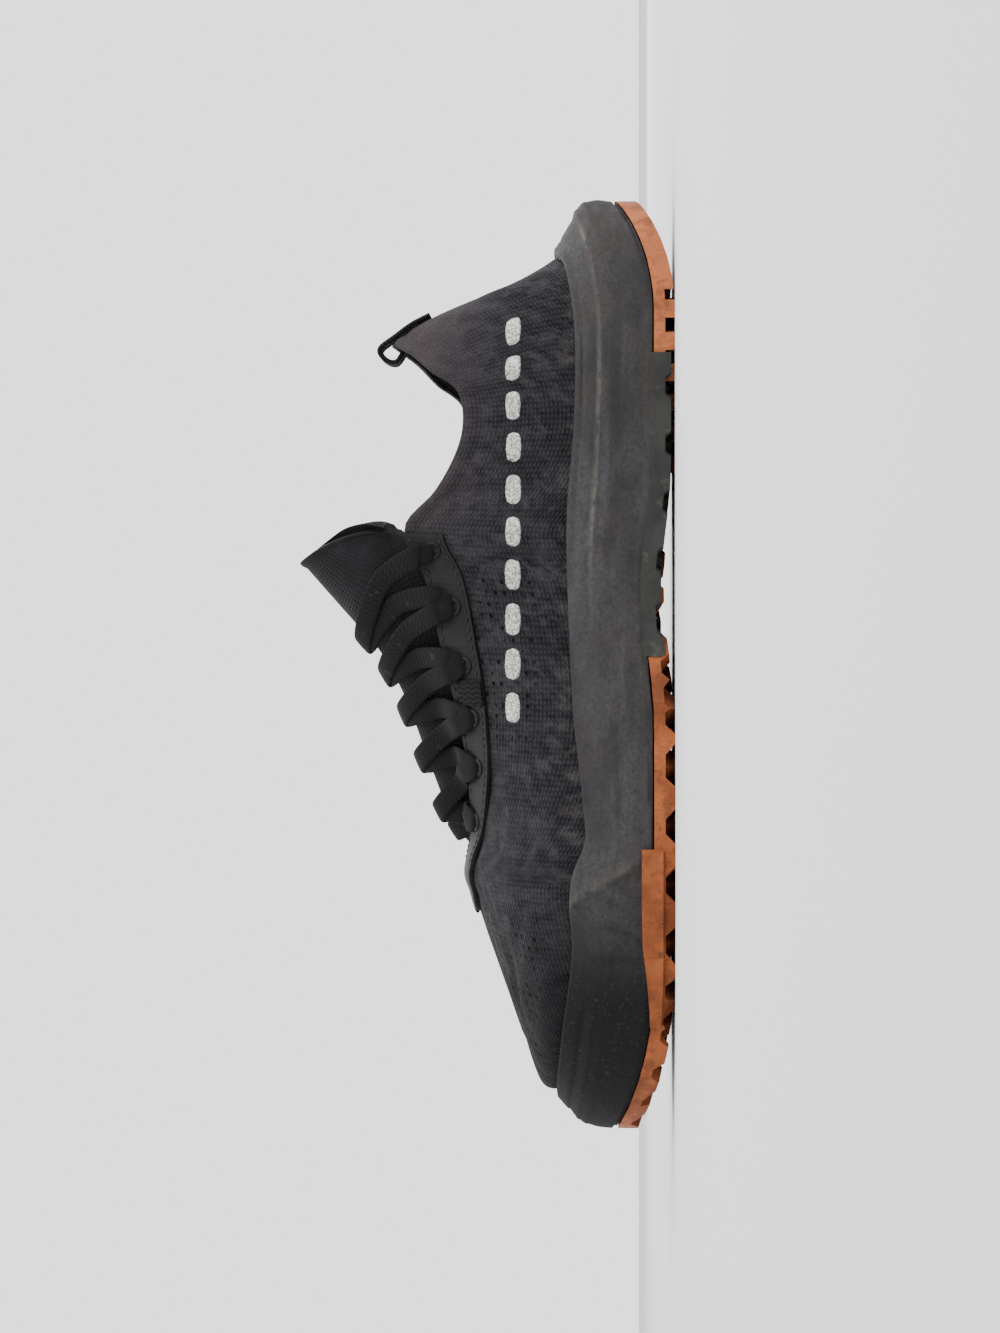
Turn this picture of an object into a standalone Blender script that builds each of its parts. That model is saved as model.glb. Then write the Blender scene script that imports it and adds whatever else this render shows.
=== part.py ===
"""Low knit trainer for the left foot, standing empty on its sole.

Metres, +Z up, +Y to the toe, -X to the outer side of the foot.  The origin lies on the floor
under the middle of the heel.  Every piece is worked out from the named sizes below.
"""
import math

import bmesh
import bpy
import numpy as np
from mathutils import Vector

# Sizes of the sole
SOLE_LENGTH = 0.300
HEEL_WIDTH = 0.086
WAIST_WIDTH = 0.077
BALL_WIDTH = 0.108
LAST_SWING = 0.0075          # how far the toe of the last turns to the inner side
HEEL_REST = 0.045            # from the rear end of the sole to the origin
FOREFOOT_REST = 0.217        # from the rear end to the lug that rests under the ball
HEEL_BEVEL = 0.0125          # rise of the tread at the rear end
ARCH_LIFT = 0.0045
TOE_SPRING = 0.012
LUG_DEPTH = 0.003
RUBBER_SHEET = 0.0035
BAND_RISE = 0.0038           # how far the rubber climbs the side beside the ball
BAND_WALL = 0.0015

# Heights of the side of the midsole above the floor
HEEL_PEAK = 0.038
HEEL_WALL = 0.031
WAIST_WALL = 0.0332
BALL_WALL = 0.028
TOE_WALL = 0.036
HEEL_LEAN = 0.0155           # how far the rear wall leans forward
SIDE_LEAN = 0.003
TOE_LEAN = 0.0095
RIDGE_STEP = 0.0009          # step between the lower wall and the upper band
LIP_WALL = 0.003
HEEL_BED = 0.021
BALL_BED = 0.0135
TOE_BED = 0.019

# Heights and widths of the upper
TOE_HEIGHT = 0.0445
VAMP_HEIGHT = 0.066
EYELET_HEIGHT = 0.085
DIP_HEIGHT = 0.068
COLLAR_HEIGHT = 0.091
COLLAR_WIDTH = 0.062
THROAT_WIDTH = 0.057
INNER_RISE = 0.003           # how much higher the collar is on the inner side
RIDGE_SHIFT = 0.003          # crest of the vamp, towards the big toe
UPPER_WALL = 0.0025

# Tongue, insole, eyestay, laces, pull loop and side tab
TONGUE_HEIGHT = 0.121
TONGUE_WALL = 0.0035
INSOLE_WALL = 0.004
EYESTAY_WIDTH = 0.013
EYESTAY_WALL = 0.0012
LACE_WIDTH = 0.0065
LACE_THICKNESS = 0.0012
LACE_ROWS = 6
LOOP_WIDTH = 0.012
LOOP_THICKNESS = 0.0016
LOOP_STAND = 0.0030          # how far the loop stands off the collar
TAB_WIDTH = 0.008
TAB_HEIGHT = 0.0095
TAB_THICKNESS = 0.0008

GAP = 0.0003                 # clearance between pieces that touch
STATIONS = 36                # sections from heel to toe
RIB_STEPS = 6                # rows from the midsole to the top edge

HEEL_HALF = HEEL_WIDTH / 2
WAIST_HALF = WAIST_WIDTH / 2
BALL_HALF = BALL_WIDTH / 2
OUTER, INNER = -1, 1


class Table:
    """Rows under named columns, read between the rows along a smooth curve."""

    def __init__(self, columns, *rows):
        self.names = columns.split()
        self.rows = np.array(sorted(rows), float)
        self.keys = turn(self.rows[:, 0])

    def at(self, where, name):
        values = self.rows[:, self.names.index(name)]
        key = turn(where)
        k = int(np.clip(np.searchsorted(self.keys, key) - 1, 0, len(self.keys) - 2))
        slopes = np.gradient(values, self.keys)
        span = self.keys[k + 1] - self.keys[k]
        t = (key - self.keys[k]) / span
        return float((2 * t**3 - 3 * t**2 + 1) * values[k] + (t**3 - 2 * t**2 + t) * span * slopes[k]
                     + (3 * t**2 - 2 * t**3) * values[k + 1] + (t**3 - t**2) * span * slopes[k + 1])


def turn(along):
    """Angle of a share of the length, which keeps the round ends of the sole round."""
    return np.arccos(1 - 2 * np.clip(along, 0, 1))


# Plan of the sole: half width and sideways swing at shares of the length
PLAN = Table(
    "along half swing",
    (0.000, 0.000, 0.00),
    (0.017, 0.49 * HEEL_HALF, 0.00),
    (0.040, 0.72 * HEEL_HALF, 0.00),
    (0.083, 0.91 * HEEL_HALF, -0.03 * LAST_SWING),
    (0.150, 0.995 * HEEL_HALF, -0.04 * LAST_SWING),
    (0.250, 0.98 * HEEL_HALF, -0.16 * LAST_SWING),
    (0.350, 1.03 * WAIST_HALF, -0.50 * LAST_SWING),
    (0.433, 1.00 * WAIST_HALF, -0.80 * LAST_SWING),
    (0.500, 1.035 * WAIST_HALF, -0.96 * LAST_SWING),
    (0.583, 0.825 * BALL_HALF, -1.00 * LAST_SWING),
    (0.667, 0.935 * BALL_HALF, -0.67 * LAST_SWING),
    (0.740, 1.000 * BALL_HALF, -0.27 * LAST_SWING),
    (0.800, 0.996 * BALL_HALF, 0.04 * LAST_SWING),
    (0.867, 0.917 * BALL_HALF, 0.33 * LAST_SWING),
    (0.917, 0.780 * BALL_HALF, 0.53 * LAST_SWING),
    (0.957, 0.585 * BALL_HALF, 0.69 * LAST_SWING),
    (0.983, 0.370 * BALL_HALF, 0.87 * LAST_SWING),
    (1.000, 0.000, 1.07 * LAST_SWING),
)

# Side wall of the midsole: top edge, how far it leans in there, strength of the ridge, front band
WALL = Table(
    "along top lean ridge",
    (0.00, 1.00 * HEEL_PEAK, 1.00 * HEEL_LEAN, 1.0),
    (0.03, 0.97 * HEEL_PEAK, 0.76 * HEEL_LEAN, 1.0),
    (0.08, 1.08 * HEEL_WALL, 1.50 * SIDE_LEAN, 1.0),
    (0.15, 0.99 * HEEL_WALL, 1.05 * SIDE_LEAN, 1.0),
    (0.25, 1.00 * HEEL_WALL, 1.00 * SIDE_LEAN, 1.0),
    (0.35, 1.00 * WAIST_WALL, 1.00 * SIDE_LEAN, 0.6),
    (0.45, 0.98 * WAIST_WALL, 1.00 * SIDE_LEAN, 0.1),
    (0.55, 0.93 * WAIST_WALL, 1.00 * SIDE_LEAN, 0.0),
    (0.64, 1.00 * BALL_WALL, 1.00 * SIDE_LEAN, 0.0),
    (0.68, 0.98 * BALL_WALL, 1.00 * SIDE_LEAN, 0.0),
    (0.71, 1.10 * BALL_WALL, 0.85 * SIDE_LEAN, 0.0),
    (0.80, 1.12 * BALL_WALL, 1.00 * SIDE_LEAN, 0.0),
    (0.88, 0.95 * TOE_WALL, 0.50 * TOE_LEAN, 0.0),
    (0.94, 1.00 * TOE_WALL, 0.75 * TOE_LEAN, 0.0),
    (0.97, 1.02 * TOE_WALL, 0.92 * TOE_LEAN, 0.0),
    (1.00, 1.02 * TOE_WALL, 1.00 * TOE_LEAN, 0.0),
)

# Foot bed inside the midsole
BED = Table(
    "along height",
    (0.00, HEEL_BED),
    (0.30, 0.98 * HEEL_BED),
    (0.50, 0.82 * HEEL_BED),
    (0.70, BALL_BED),
    (0.85, 1.03 * BALL_BED),
    (1.00, TOE_BED),
)

# Profile of the side wall from the bottom edge up: share of the height, share of the lean, ridge
SIDEWALL = (
    (0.00, 0.20, 0.0),
    (0.07, 0.00, 0.0),
    (0.30, 0.00, 0.4),
    (0.52, 0.08, 0.9),
    (0.68, 0.26, 1.0),
    (0.73, 0.40, 0.0),
    (0.88, 0.72, 0.0),
    (1.00, 1.00, 0.0),
)

# Ribs of the upper from heel to toe.  The foot of a rib is on the midsole, and its top edge is at
# a share of the length, a height and a distance from the middle.  Lift and droop are shares of
# the rise, swell of the rise and reach of the run: they are the handles of the rib's curve.
RIBS = Table(
    "foot along height across lift swell reach droop",
    (0.000, 0.155, 1.00 * COLLAR_HEIGHT, 0.00, 0.33, -0.26, 0.42, 0.17),
    (0.050, 0.160, 0.97 * COLLAR_HEIGHT, 0.32 * COLLAR_WIDTH / 2, 0.33, -0.20, 0.40, 0.20),
    (0.100, 0.172, 0.91 * COLLAR_HEIGHT, 0.60 * COLLAR_WIDTH / 2, 0.33, -0.12, 0.38, 0.24),
    (0.150, 0.190, 1.13 * DIP_HEIGHT, 0.82 * COLLAR_WIDTH / 2, 0.33, -0.06, 0.35, 0.28),
    (0.205, 0.215, 0.995 * DIP_HEIGHT, 0.96 * COLLAR_WIDTH / 2, 0.33, -0.03, 0.30, 0.33),
    (0.260, 0.262, 0.99 * DIP_HEIGHT, 1.00 * COLLAR_WIDTH / 2, 0.33, -0.02, 0.35, 0.33),
    (0.315, 0.315, 0.885 * EYELET_HEIGHT, 0.97 * COLLAR_WIDTH / 2, 0.35, -0.02, 0.40, 0.30),
    (0.360, 0.353, 1.00 * EYELET_HEIGHT, 1.00 * THROAT_WIDTH / 2, 0.36, -0.01, 0.40, 0.28),
    (0.410, 0.400, 0.925 * EYELET_HEIGHT, 0.97 * THROAT_WIDTH / 2, 0.38, 0.00, 0.40, 0.25),
    (0.480, 0.480, 1.10 * VAMP_HEIGHT, 0.88 * THROAT_WIDTH / 2, 0.40, 0.02, 0.40, 0.22),
    (0.550, 0.550, 1.02 * VAMP_HEIGHT, 0.76 * THROAT_WIDTH / 2, 0.42, 0.03, 0.40, 0.20),
    (0.620, 0.615, 0.97 * VAMP_HEIGHT, 0.60 * THROAT_WIDTH / 2, 0.45, 0.04, 0.40, 0.15),
    (0.680, 0.680, 0.965 * VAMP_HEIGHT, 0.38 * THROAT_WIDTH / 2, 0.50, 0.04, 0.45, 0.08),
    (0.712, 0.704, 0.985 * VAMP_HEIGHT, 0.23 * THROAT_WIDTH / 2, 0.53, 0.04, 0.48, 0.03),
    (0.725, 0.717, 1.00 * VAMP_HEIGHT, 0.00, 0.55, 0.04, 0.50, 0.08),
    (0.760, 0.742, 0.975 * VAMP_HEIGHT, 0.00, 0.58, 0.05, 0.55, 0.10),
    (0.820, 0.782, 0.92 * VAMP_HEIGHT, 0.00, 0.60, 0.05, 0.56, 0.13),
    (0.880, 0.820, 0.86 * VAMP_HEIGHT, 0.00, 0.60, 0.06, 0.58, 0.16),
    (0.930, 0.852, 1.20 * TOE_HEIGHT, 0.00, 0.62, 0.08, 0.60, 0.16),
    (0.975, 0.878, 1.14 * TOE_HEIGHT, 0.00, 0.64, 0.10, 0.62, 0.16),
    (1.000, 0.895, 1.10 * TOE_HEIGHT, 0.00, 0.66, 0.10, 0.64, 0.16),
)
THROAT_FOOT = 0.725          # ribs in front of this share meet on the crest of the vamp
EYELET_FOOT = 0.360          # rib of the top eyelet

# Crest of the tongue at the ribs of the throat, and its free top
CREST = Table(
    "foot along height",
    (0.360, 0.440, 0.885 * TONGUE_HEIGHT),
    (0.420, 0.475, 0.800 * TONGUE_HEIGHT),
    (0.500, 0.530, 0.720 * TONGUE_HEIGHT),
    (0.580, 0.600, 0.655 * TONGUE_HEIGHT),
    (0.650, 0.665, 0.590 * TONGUE_HEIGHT),
    (0.715, 0.705, 0.515 * TONGUE_HEIGHT),
)


def plan_point(along, across):
    """Place in plan: a share of the length and a share of the half width, outer side negative."""
    half, swing = PLAN.at(along, "half"), PLAN.at(along, "swing")
    return Vector((swing + across * half, along * SOLE_LENGTH - HEEL_REST, 0))


def edge_normal(along, side):
    """Outward direction of the sole's outline, in plan."""
    step = 0.004
    angle = turn(along)
    before, after = ((1 - math.cos(angle + d)) / 2 for d in (-step, step))
    if angle < step or angle > math.pi - step:
        return Vector((0, -1 if angle < step else 1, 0))
    tangent = plan_point(after, side) - plan_point(before, side)
    return Vector((side * tangent.y, -side * tangent.x, 0)).normalized()


def inset_point(along, side, inset, height=0.0):
    point = plan_point(along, side) - inset * edge_normal(along, side)
    point.z = height
    return point


def along_of(point):
    return min(max((point.y + HEEL_REST) / SOLE_LENGTH, 0), 1)


def ground(point):
    """Height of the tread above the floor: rear bevel, arch and toe spring."""
    along = along_of(point)
    bevel, arch_start, arch_end, spring = 0.13, 0.29, 0.56, 0.82
    height = HEEL_BEVEL * max(0, 1 - along / bevel) ** 2
    height += TOE_SPRING * (max(0, along - spring) / (1 - spring)) ** 2
    if arch_start < along < arch_end:
        across = (point.x - PLAN.at(along, "swing")) / max(PLAN.at(along, "half"), GAP)
        bow = math.sin(math.pi * (along - arch_start) / (arch_end - arch_start)) ** 2
        height += ARCH_LIFT * bow * (1 + 0.3 * max(-1, min(1, across)))
    return height


def deck(point):
    """Underside of the foam above the rubber."""
    return ground(point) + LUG_DEPTH + RUBBER_SHEET + 1.5 * GAP


def stations():
    return [(1 - math.cos(math.pi * i / STATIONS)) / 2 for i in range(STATIONS + 1)]


# Meshes

def add_skin(bm, rows):
    """Quads between neighbouring rows of points."""
    grid = [[bm.verts.new(point) for point in row] for row in rows]
    for lower, upper in zip(grid, grid[1:]):
        for k in range(len(lower) - 1):
            bm.faces.new((lower[k], lower[k + 1], upper[k + 1], upper[k]))


def add_strip(bm, sections):
    """Closed solid through sections of as many corners each."""
    rings = [[bm.verts.new(corner) for corner in section] for section in sections]
    for ring, following in zip(rings, rings[1:]):
        for k in range(len(ring)):
            after = (k + 1) % len(ring)
            bm.faces.new((ring[k], ring[after], following[after], following[k]))
    bm.faces.new(rings[0])
    bm.faces.new(rings[-1])
    bmesh.ops.recalc_face_normals(bm, faces=bm.faces)


def weld(bm, distance=1e-6):
    bmesh.ops.remove_doubles(bm, verts=bm.verts, dist=distance)
    bmesh.ops.dissolve_degenerate(bm, dist=distance, edges=bm.edges)
    bmesh.ops.recalc_face_normals(bm, faces=bm.faces)


def make_object(bm, name, material, smooth=True):
    mesh = bpy.data.meshes.new(name)
    bm.to_mesh(mesh)
    bm.free()
    if material:
        mesh.materials.append(material)
    if smooth:
        mesh.shade_smooth()
        mesh.set_sharp_from_angle(angle=math.radians(35))
    obj = bpy.data.objects.new(name, mesh)
    bpy.context.scene.collection.objects.link(obj)
    return obj


def combine(target, tool, operation):
    """Exact Boolean of two objects, kept in the first; the second is removed."""
    modifier = target.modifiers.new("combine", "BOOLEAN")
    modifier.object = tool
    modifier.operation = operation
    modifier.solver = "EXACT"
    bpy.context.view_layer.update()
    shape = target.evaluated_get(bpy.context.evaluated_depsgraph_get())
    mesh = bpy.data.meshes.new_from_object(shape)
    target.modifiers.remove(modifier)
    target.data = mesh
    bpy.data.objects.remove(tool)
    return target


def paint(name, colour, roughness):
    material = bpy.data.materials.new(name)
    material.use_nodes = True
    shader = material.node_tree.nodes["Principled BSDF"]
    shader.inputs["Base Color"].default_value = (*colour, 1)
    shader.inputs["Roughness"].default_value = roughness
    shader.inputs["Metallic"].default_value = 0
    return material


def prism(outline, low, high, name="prism"):
    """Upright solid over an outline in plan."""
    bm = bmesh.new()
    face = bm.faces.new([bm.verts.new((p.x, p.y, low)) for p in outline])
    raised = bmesh.ops.extrude_face_region(bm, geom=[face])
    top = [v for v in raised["geom"] if isinstance(v, bmesh.types.BMVert)]
    bmesh.ops.translate(bm, verts=top, vec=(0, 0, high - low))
    bmesh.ops.recalc_face_normals(bm, faces=bm.faces)
    return make_object(bm, name, None, smooth=False)


def grow(outline, distance):
    """Outline moved outwards by a distance."""
    area = sum(a.x * b.y - b.x * a.y for a, b in zip(outline, outline[1:] + outline[:1]))
    turned = math.copysign(1, area)
    moved = []
    for before, here, after in zip(outline[-1:] + outline[:-1], outline, outline[1:] + outline[:1]):
        one, two = (here - before).normalized(), (after - here).normalized()
        normal = Vector((one.y + two.y, -one.x - two.x, 0)) * turned
        moved.append(here + normal * (2 * distance / max(normal.length_squared, 0.8)))
    return moved


# Plans of the rubber.  Points are shares of the length and of the half width.
HEEL_INNER_EDGE = ((0.170, -1.00), (0.205, -0.90), (0.240, -0.70), (0.296, -0.25), (0.283, 0.10), (0.262, -0.01), (0.249, 0.14),
                   (0.226, 0.03), (0.192, 0.03), (0.193, 0.44), (0.216, 0.57), (0.242, 0.52),
                   (0.272, 0.76), (0.282, 1.00))
BALL_INNER_EDGE = ((0.500, -1.00), (0.445, -0.91), (0.400, -0.76), (0.371, -0.60), (0.385, -0.38),
                   (0.414, -0.06), (0.445, 0.16), (0.482, 0.02), (0.503, 0.07), (0.528, -0.13),
                   (0.560, -0.04), (0.590, -0.15), (0.622, -0.03), (0.603, 0.22), (0.628, 0.43),
                   (0.605, 0.57), (0.575, 0.47), (0.546, 0.62), (0.518, 0.56), (0.492, 0.82),
                   (0.500, 1.00))


def rubber_plan(inner_edge, towards):
    """Closed outline: the inner edge from outer to inner side, then around the heel or the toe."""
    points = [plan_point(*place) for place in inner_edge]
    first, last = inner_edge[0][0], inner_edge[-1][0]
    clear = 0.012
    if towards == "heel":
        out = [a for a in reversed(stations()) if a < last - clear]
        home = [a for a in stations() if a < first - clear]
    else:
        out = [a for a in stations() if a > last + clear]
        home = [a for a in reversed(stations()) if a > first + clear]
    return points + [plan_point(a, INNER) for a in out] + [plan_point(a, OUTER) for a in home[1:]]


# Tread

BALL_CELL = (0.014, 0.009)       # half width and half length of a diamond cell
HEEL_BAR = (0.0055, 0.0045)      # a bar and the groove after it
HEEL_COLUMN = 0.016
BAR_BOW = 0.004
PAD_END = -0.016                 # the heel tread is one smooth pad behind this place
MID_CELL = (0.0105, 0.0090)
FOAM_LUG = 0.0018
SMALL_BORDER, LUG_SLOPE = 0.0018, 0.0026

# Diamonds of foam that stand through the rubber, as cells of the tread of the ball
BALL_WINDOWS = ((-2, 0), (0, 0), (2, 0), (3, -1), (0, 2), (2, 2), (1, -3), (-2, -4), (-2, -8),
                (-2, -12), (2, -6))
WINDOW_SHARE = 0.70
# Slanted windows of the heel: share of the length and of the half width
HEEL_WINDOWS = ((0.080, -0.22), (0.087, 0.55), (0.143, -0.24), (0.156, 0.76), (0.210, -0.24))
SLANT_WIDTH, SLANT_LENGTH, SLANT = 0.009, 0.0085, 0.0065
RIDGE_X = 0.001


def ball_cell(i, j):
    """Centre of a diamond cell, counted from the crest of the tread."""
    return Vector((RIDGE_X + i * BALL_CELL[0], FOREFOOT_REST - HEEL_REST + (j + 3) * BALL_CELL[1], 0))


def ball_windows():
    half_x, half_y = (WINDOW_SHARE * size for size in BALL_CELL)
    corners = ((half_x, 0), (0, half_y), (-half_x, 0), (0, -half_y))
    return [[ball_cell(*cell) + Vector((x, y, 0)) for x, y in corners] for cell in BALL_WINDOWS]


def heel_windows():
    outlines = []
    for place in HEEL_WINDOWS:
        centre = plan_point(*place)
        outlines.append([centre + Vector((sx * SLANT_WIDTH / 2 - sy * SLANT / 2, sy * SLANT_LENGTH / -2, 0))
                         for sx, sy in ((1, 1), (1, -1), (-1, -1), (-1, 1))])
    return outlines


def raise_tread(bm, sheet_low, sheet_high):
    """Flat tread made at zero: turned into a slab that follows the ground."""
    flat = list(bm.faces)
    raised = bmesh.ops.extrude_face_region(bm, geom=flat)
    top = [v for v in raised["geom"] if isinstance(v, bmesh.types.BMVert)]
    for vert in top:
        vert.co.z = sheet_high
    for vert in set(bm.verts) - set(top):
        vert.co.z = sheet_low
    bmesh.ops.recalc_face_normals(bm, faces=bm.faces)


def follow_ground(bm):
    """Lift every corner by the ground; each cell folds along the line across the sole."""
    for vert in bm.verts:
        vert.co.z += ground(vert.co)
    for face in [f for f in bm.faces if f.normal.z > 0.9 and len(f.verts) == 4]:
        across = sorted(face.verts, key=lambda v: v.co.x)
        if abs(across[0].co.y - across[-1].co.y) < GAP:
            bmesh.utils.face_split(face, across[0], across[-1])


def underside(bm, level):
    return [f for f in bm.faces if f.normal.z < -0.9 and abs(f.calc_center_median().z - level) < 1e-7]


def add_lugs(bm, faces, border, slope, depth):
    bmesh.ops.inset_individual(bm, faces=faces, thickness=border, depth=0, use_even_offset=True)
    bmesh.ops.inset_individual(bm, faces=faces, thickness=slope, depth=depth, use_even_offset=True)


def diamond_sheet(bm, cell, spot, columns, rows):
    """Diamond cells that share their corners."""
    corners = {}
    for i in range(-columns, columns + 1):
        for j in range(rows[0], rows[1] + 1):
            if (i + j) % 2:
                corners[i, j] = bm.verts.new(spot(i, j))
    for i in range(-columns + 1, columns):
        for j in range(rows[0] + 1, rows[1]):
            if (i + j) % 2 == 0:
                bm.faces.new([corners[i + 1, j], corners[i, j + 1], corners[i - 1, j], corners[i, j - 1]])


def ball_slab():
    bm = bmesh.new()
    diamond_sheet(bm, BALL_CELL, ball_cell, 6, (-17, 9))
    low = LUG_DEPTH
    raise_tread(bm, low, low + RUBBER_SHEET)
    cut = {tuple(round(c, 5) for c in ball_cell(*cell)[:2]) for cell in BALL_WINDOWS}
    plain = [f for f in underside(bm, low)
             if tuple(round(c, 5) for c in f.calc_center_median()[:2]) not in cut]
    add_lugs(bm, plain, SMALL_BORDER, LUG_SLOPE, LUG_DEPTH)
    follow_ground(bm)
    bmesh.ops.triangulate(bm, faces=[f for f in bm.faces if len(f.verts) > 3])
    return make_object(bm, "ball_slab", None, smooth=False)


def heel_slab():
    bm = bmesh.new()
    lines = [PAD_END]
    pitch = sum(HEEL_BAR)
    for k in range(-1, 6):
        lines += [k * pitch - HEEL_BAR[0] / 2, k * pitch + HEEL_BAR[0] / 2]
    rear = [along * SOLE_LENGTH - HEEL_REST for along in stations()]
    lines = [-HEEL_REST - pitch] + [y for y in rear if y < PAD_END - HEEL_BAR[1]] + lines
    columns = [HEEL_COLUMN * c for c in range(-3, 4)]
    add_skin(bm, [[Vector((x, y + BAR_BOW * (x / HEEL_HALF) ** 2, 0)) for x in columns] for y in lines])
    weld(bm)
    low = LUG_DEPTH
    raise_tread(bm, low, low + RUBBER_SHEET)

    def is_bar(face):
        centre = face.calc_center_median()
        y = centre.y - BAR_BOW * (centre.x / HEEL_HALF) ** 2
        return y < PAD_END or abs((y + pitch / 2) % pitch - pitch / 2) < HEEL_BAR[0] / 2

    bars = [f for f in underside(bm, low) if is_bar(f)]
    out = bmesh.ops.extrude_face_region(bm, geom=bars)
    moved = [v for v in out["geom"] if isinstance(v, bmesh.types.BMVert)]
    bmesh.ops.translate(bm, verts=moved, vec=(0, 0, -LUG_DEPTH))
    bmesh.ops.delete(bm, geom=[f for f in bars if f.is_valid], context="FACES_ONLY")
    bmesh.ops.recalc_face_normals(bm, faces=bm.faces)
    follow_ground(bm)
    bmesh.ops.triangulate(bm, faces=bm.faces)
    return make_object(bm, "heel_slab", None, smooth=False)


def mid_slab():
    """Foam tread between the two rubbers."""
    bm = bmesh.new()
    middle = 0.42 * SOLE_LENGTH - HEEL_REST
    spot = lambda i, j: Vector((i * MID_CELL[0], middle + j * MID_CELL[1], 0))
    diamond_sheet(bm, MID_CELL, spot, 6, (-9, 9))
    low = LUG_DEPTH
    raise_tread(bm, low, low + RUBBER_SHEET + 0.0015)
    add_lugs(bm, underside(bm, low), 0.0014, 0.0012, FOAM_LUG)
    follow_ground(bm)
    bmesh.ops.triangulate(bm, faces=bm.faces)
    return make_object(bm, "mid_slab", None, smooth=False)


LOW, HIGH = -0.01, 0.05


def joined_prisms(outlines, low, high):
    """Several upright solids in one object, clear of each other."""
    bm = bmesh.new()
    for outline in outlines:
        face = bm.faces.new([bm.verts.new((p.x, p.y, low)) for p in outline])
        raised = bmesh.ops.extrude_face_region(bm, geom=[face])
        top = [v for v in raised["geom"] if isinstance(v, bmesh.types.BMVert)]
        bmesh.ops.translate(bm, verts=top, vec=(0, 0, high - low))
    bmesh.ops.recalc_face_normals(bm, faces=bm.faces)
    return make_object(bm, "windows", None, smooth=False)


def foam_plugs(outlines):
    """Foam blocks that stand through the windows, with a low point in the middle."""
    bm = bmesh.new()
    for outline in outlines:
        small = grow(outline, -GAP)
        centre = sum(small, Vector()) / len(small)
        face = bm.faces.new([bm.verts.new((p.x, p.y, deck(centre) + 0.0015)) for p in small])
        raised = bmesh.ops.extrude_face_region(bm, geom=[face])
        for vert in (v for v in raised["geom"] if isinstance(v, bmesh.types.BMVert)):
            vert.co.z = ground(vert.co) + LUG_DEPTH / 2
        bottom = [f for f in raised["geom"] if isinstance(f, bmesh.types.BMFace)]
        peak = bmesh.ops.poke(bm, faces=bottom)["verts"][0]
        peak.co.z = ground(peak.co) + LUG_DEPTH / 4
    bmesh.ops.recalc_face_normals(bm, faces=bm.faces)
    return make_object(bm, "plugs", None, smooth=False)


def finish(obj, name, material, smooth=True):
    """Triangles, one name and one material."""
    bm = bmesh.new()
    bm.from_mesh(obj.data)
    bpy.data.objects.remove(obj)
    weld(bm, 2e-6)
    bmesh.ops.triangulate(bm, faces=bm.faces)
    return make_object(bm, name, material, smooth)


BAND_START, BAND_TAPER, BAND_END = 0.687, 0.78, 0.87
BAND_ROOT = 0.003


def side_band(side):
    """Rubber that climbs the side of the midsole beside the ball and runs out towards the toe."""
    lines = [BAND_START] + [a for a in stations() if BAND_START < a < BAND_END] + [BAND_END]
    sections = []
    for along in lines:
        level = ground(inset_point(along, side, 0)) + LUG_DEPTH
        low, top = level + 0.2 * RUBBER_SHEET, level + 0.95 * RUBBER_SHEET
        fade = max(0, along - BAND_TAPER) / (BAND_END - BAND_TAPER)
        high = level + RUBBER_SHEET + BAND_RISE * (1 - 0.9 * fade)
        sections.append([inset_point(along, side, inset, height) for inset, height in (
            (BAND_ROOT, low), (-BAND_WALL, low), (-BAND_WALL, high),
            (-1.5 * GAP, high), (-1.5 * GAP, top), (BAND_ROOT, top))])
    bm = bmesh.new()
    add_strip(bm, sections)
    return make_object(bm, "side_band", None, smooth=False)


def make_outsoles(rubber):
    heel_plan = rubber_plan(HEEL_INNER_EDGE, "heel")
    ball_plan = rubber_plan(BALL_INNER_EDGE, "toe")
    pieces = (("outsole_heel", heel_slab(), heel_plan, heel_windows()),
              ("outsole_forefoot", ball_slab(), ball_plan, ball_windows()))
    for name, slab, plan, windows in pieces:
        shape = combine(slab, prism(plan, LOW, HIGH), "INTERSECT")
        if name == "outsole_forefoot":
            for side in (OUTER, INNER):
                shape = combine(shape, side_band(side), "UNION")
        shape = combine(shape, joined_prisms(windows, LOW, HIGH), "DIFFERENCE")
        finish(shape, name, rubber, smooth=False)


# Midsole

def side_rows(side):
    """Rows of the midsole's skin on one side, from the bottom edge over the lip to the foot bed."""
    rows = [[] for _ in range(len(SIDEWALL) + 3)]
    for along in stations():
        low = deck(inset_point(along, side, 0.2 * SIDE_LEAN))
        top, lean = WALL.at(along, "top"), WALL.at(along, "lean")
        ridge = RIDGE_STEP * WALL.at(along, "ridge")
        for row, (rise, share, out) in zip(rows, SIDEWALL):
            row.append(inset_point(along, side, share * lean - out * ridge, low + rise * (top - low)))
        rows[-3].append(inset_point(along, side, lean + 0.45 * LIP_WALL, top + 0.2 * LIP_WALL))
        rows[-2].append(inset_point(along, side, lean + LIP_WALL, top - 0.15 * LIP_WALL))
        bed = inset_point(along, side, lean + LIP_WALL)
        bed.z = BED.at(along_of(bed), "height")
        rows[-1].append(bed)
    return rows


def crossing_rows(outer, inner, height_at, columns=2):
    """Rows across the sole between matching points of its two sides."""
    rows = []
    for a, b in zip(outer, inner):
        row = [a.lerp(b, c / columns) for c in range(columns + 1)]
        for point in row[1:-1]:
            point.z = height_at(point)
        rows.append(row)
    return rows


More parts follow.
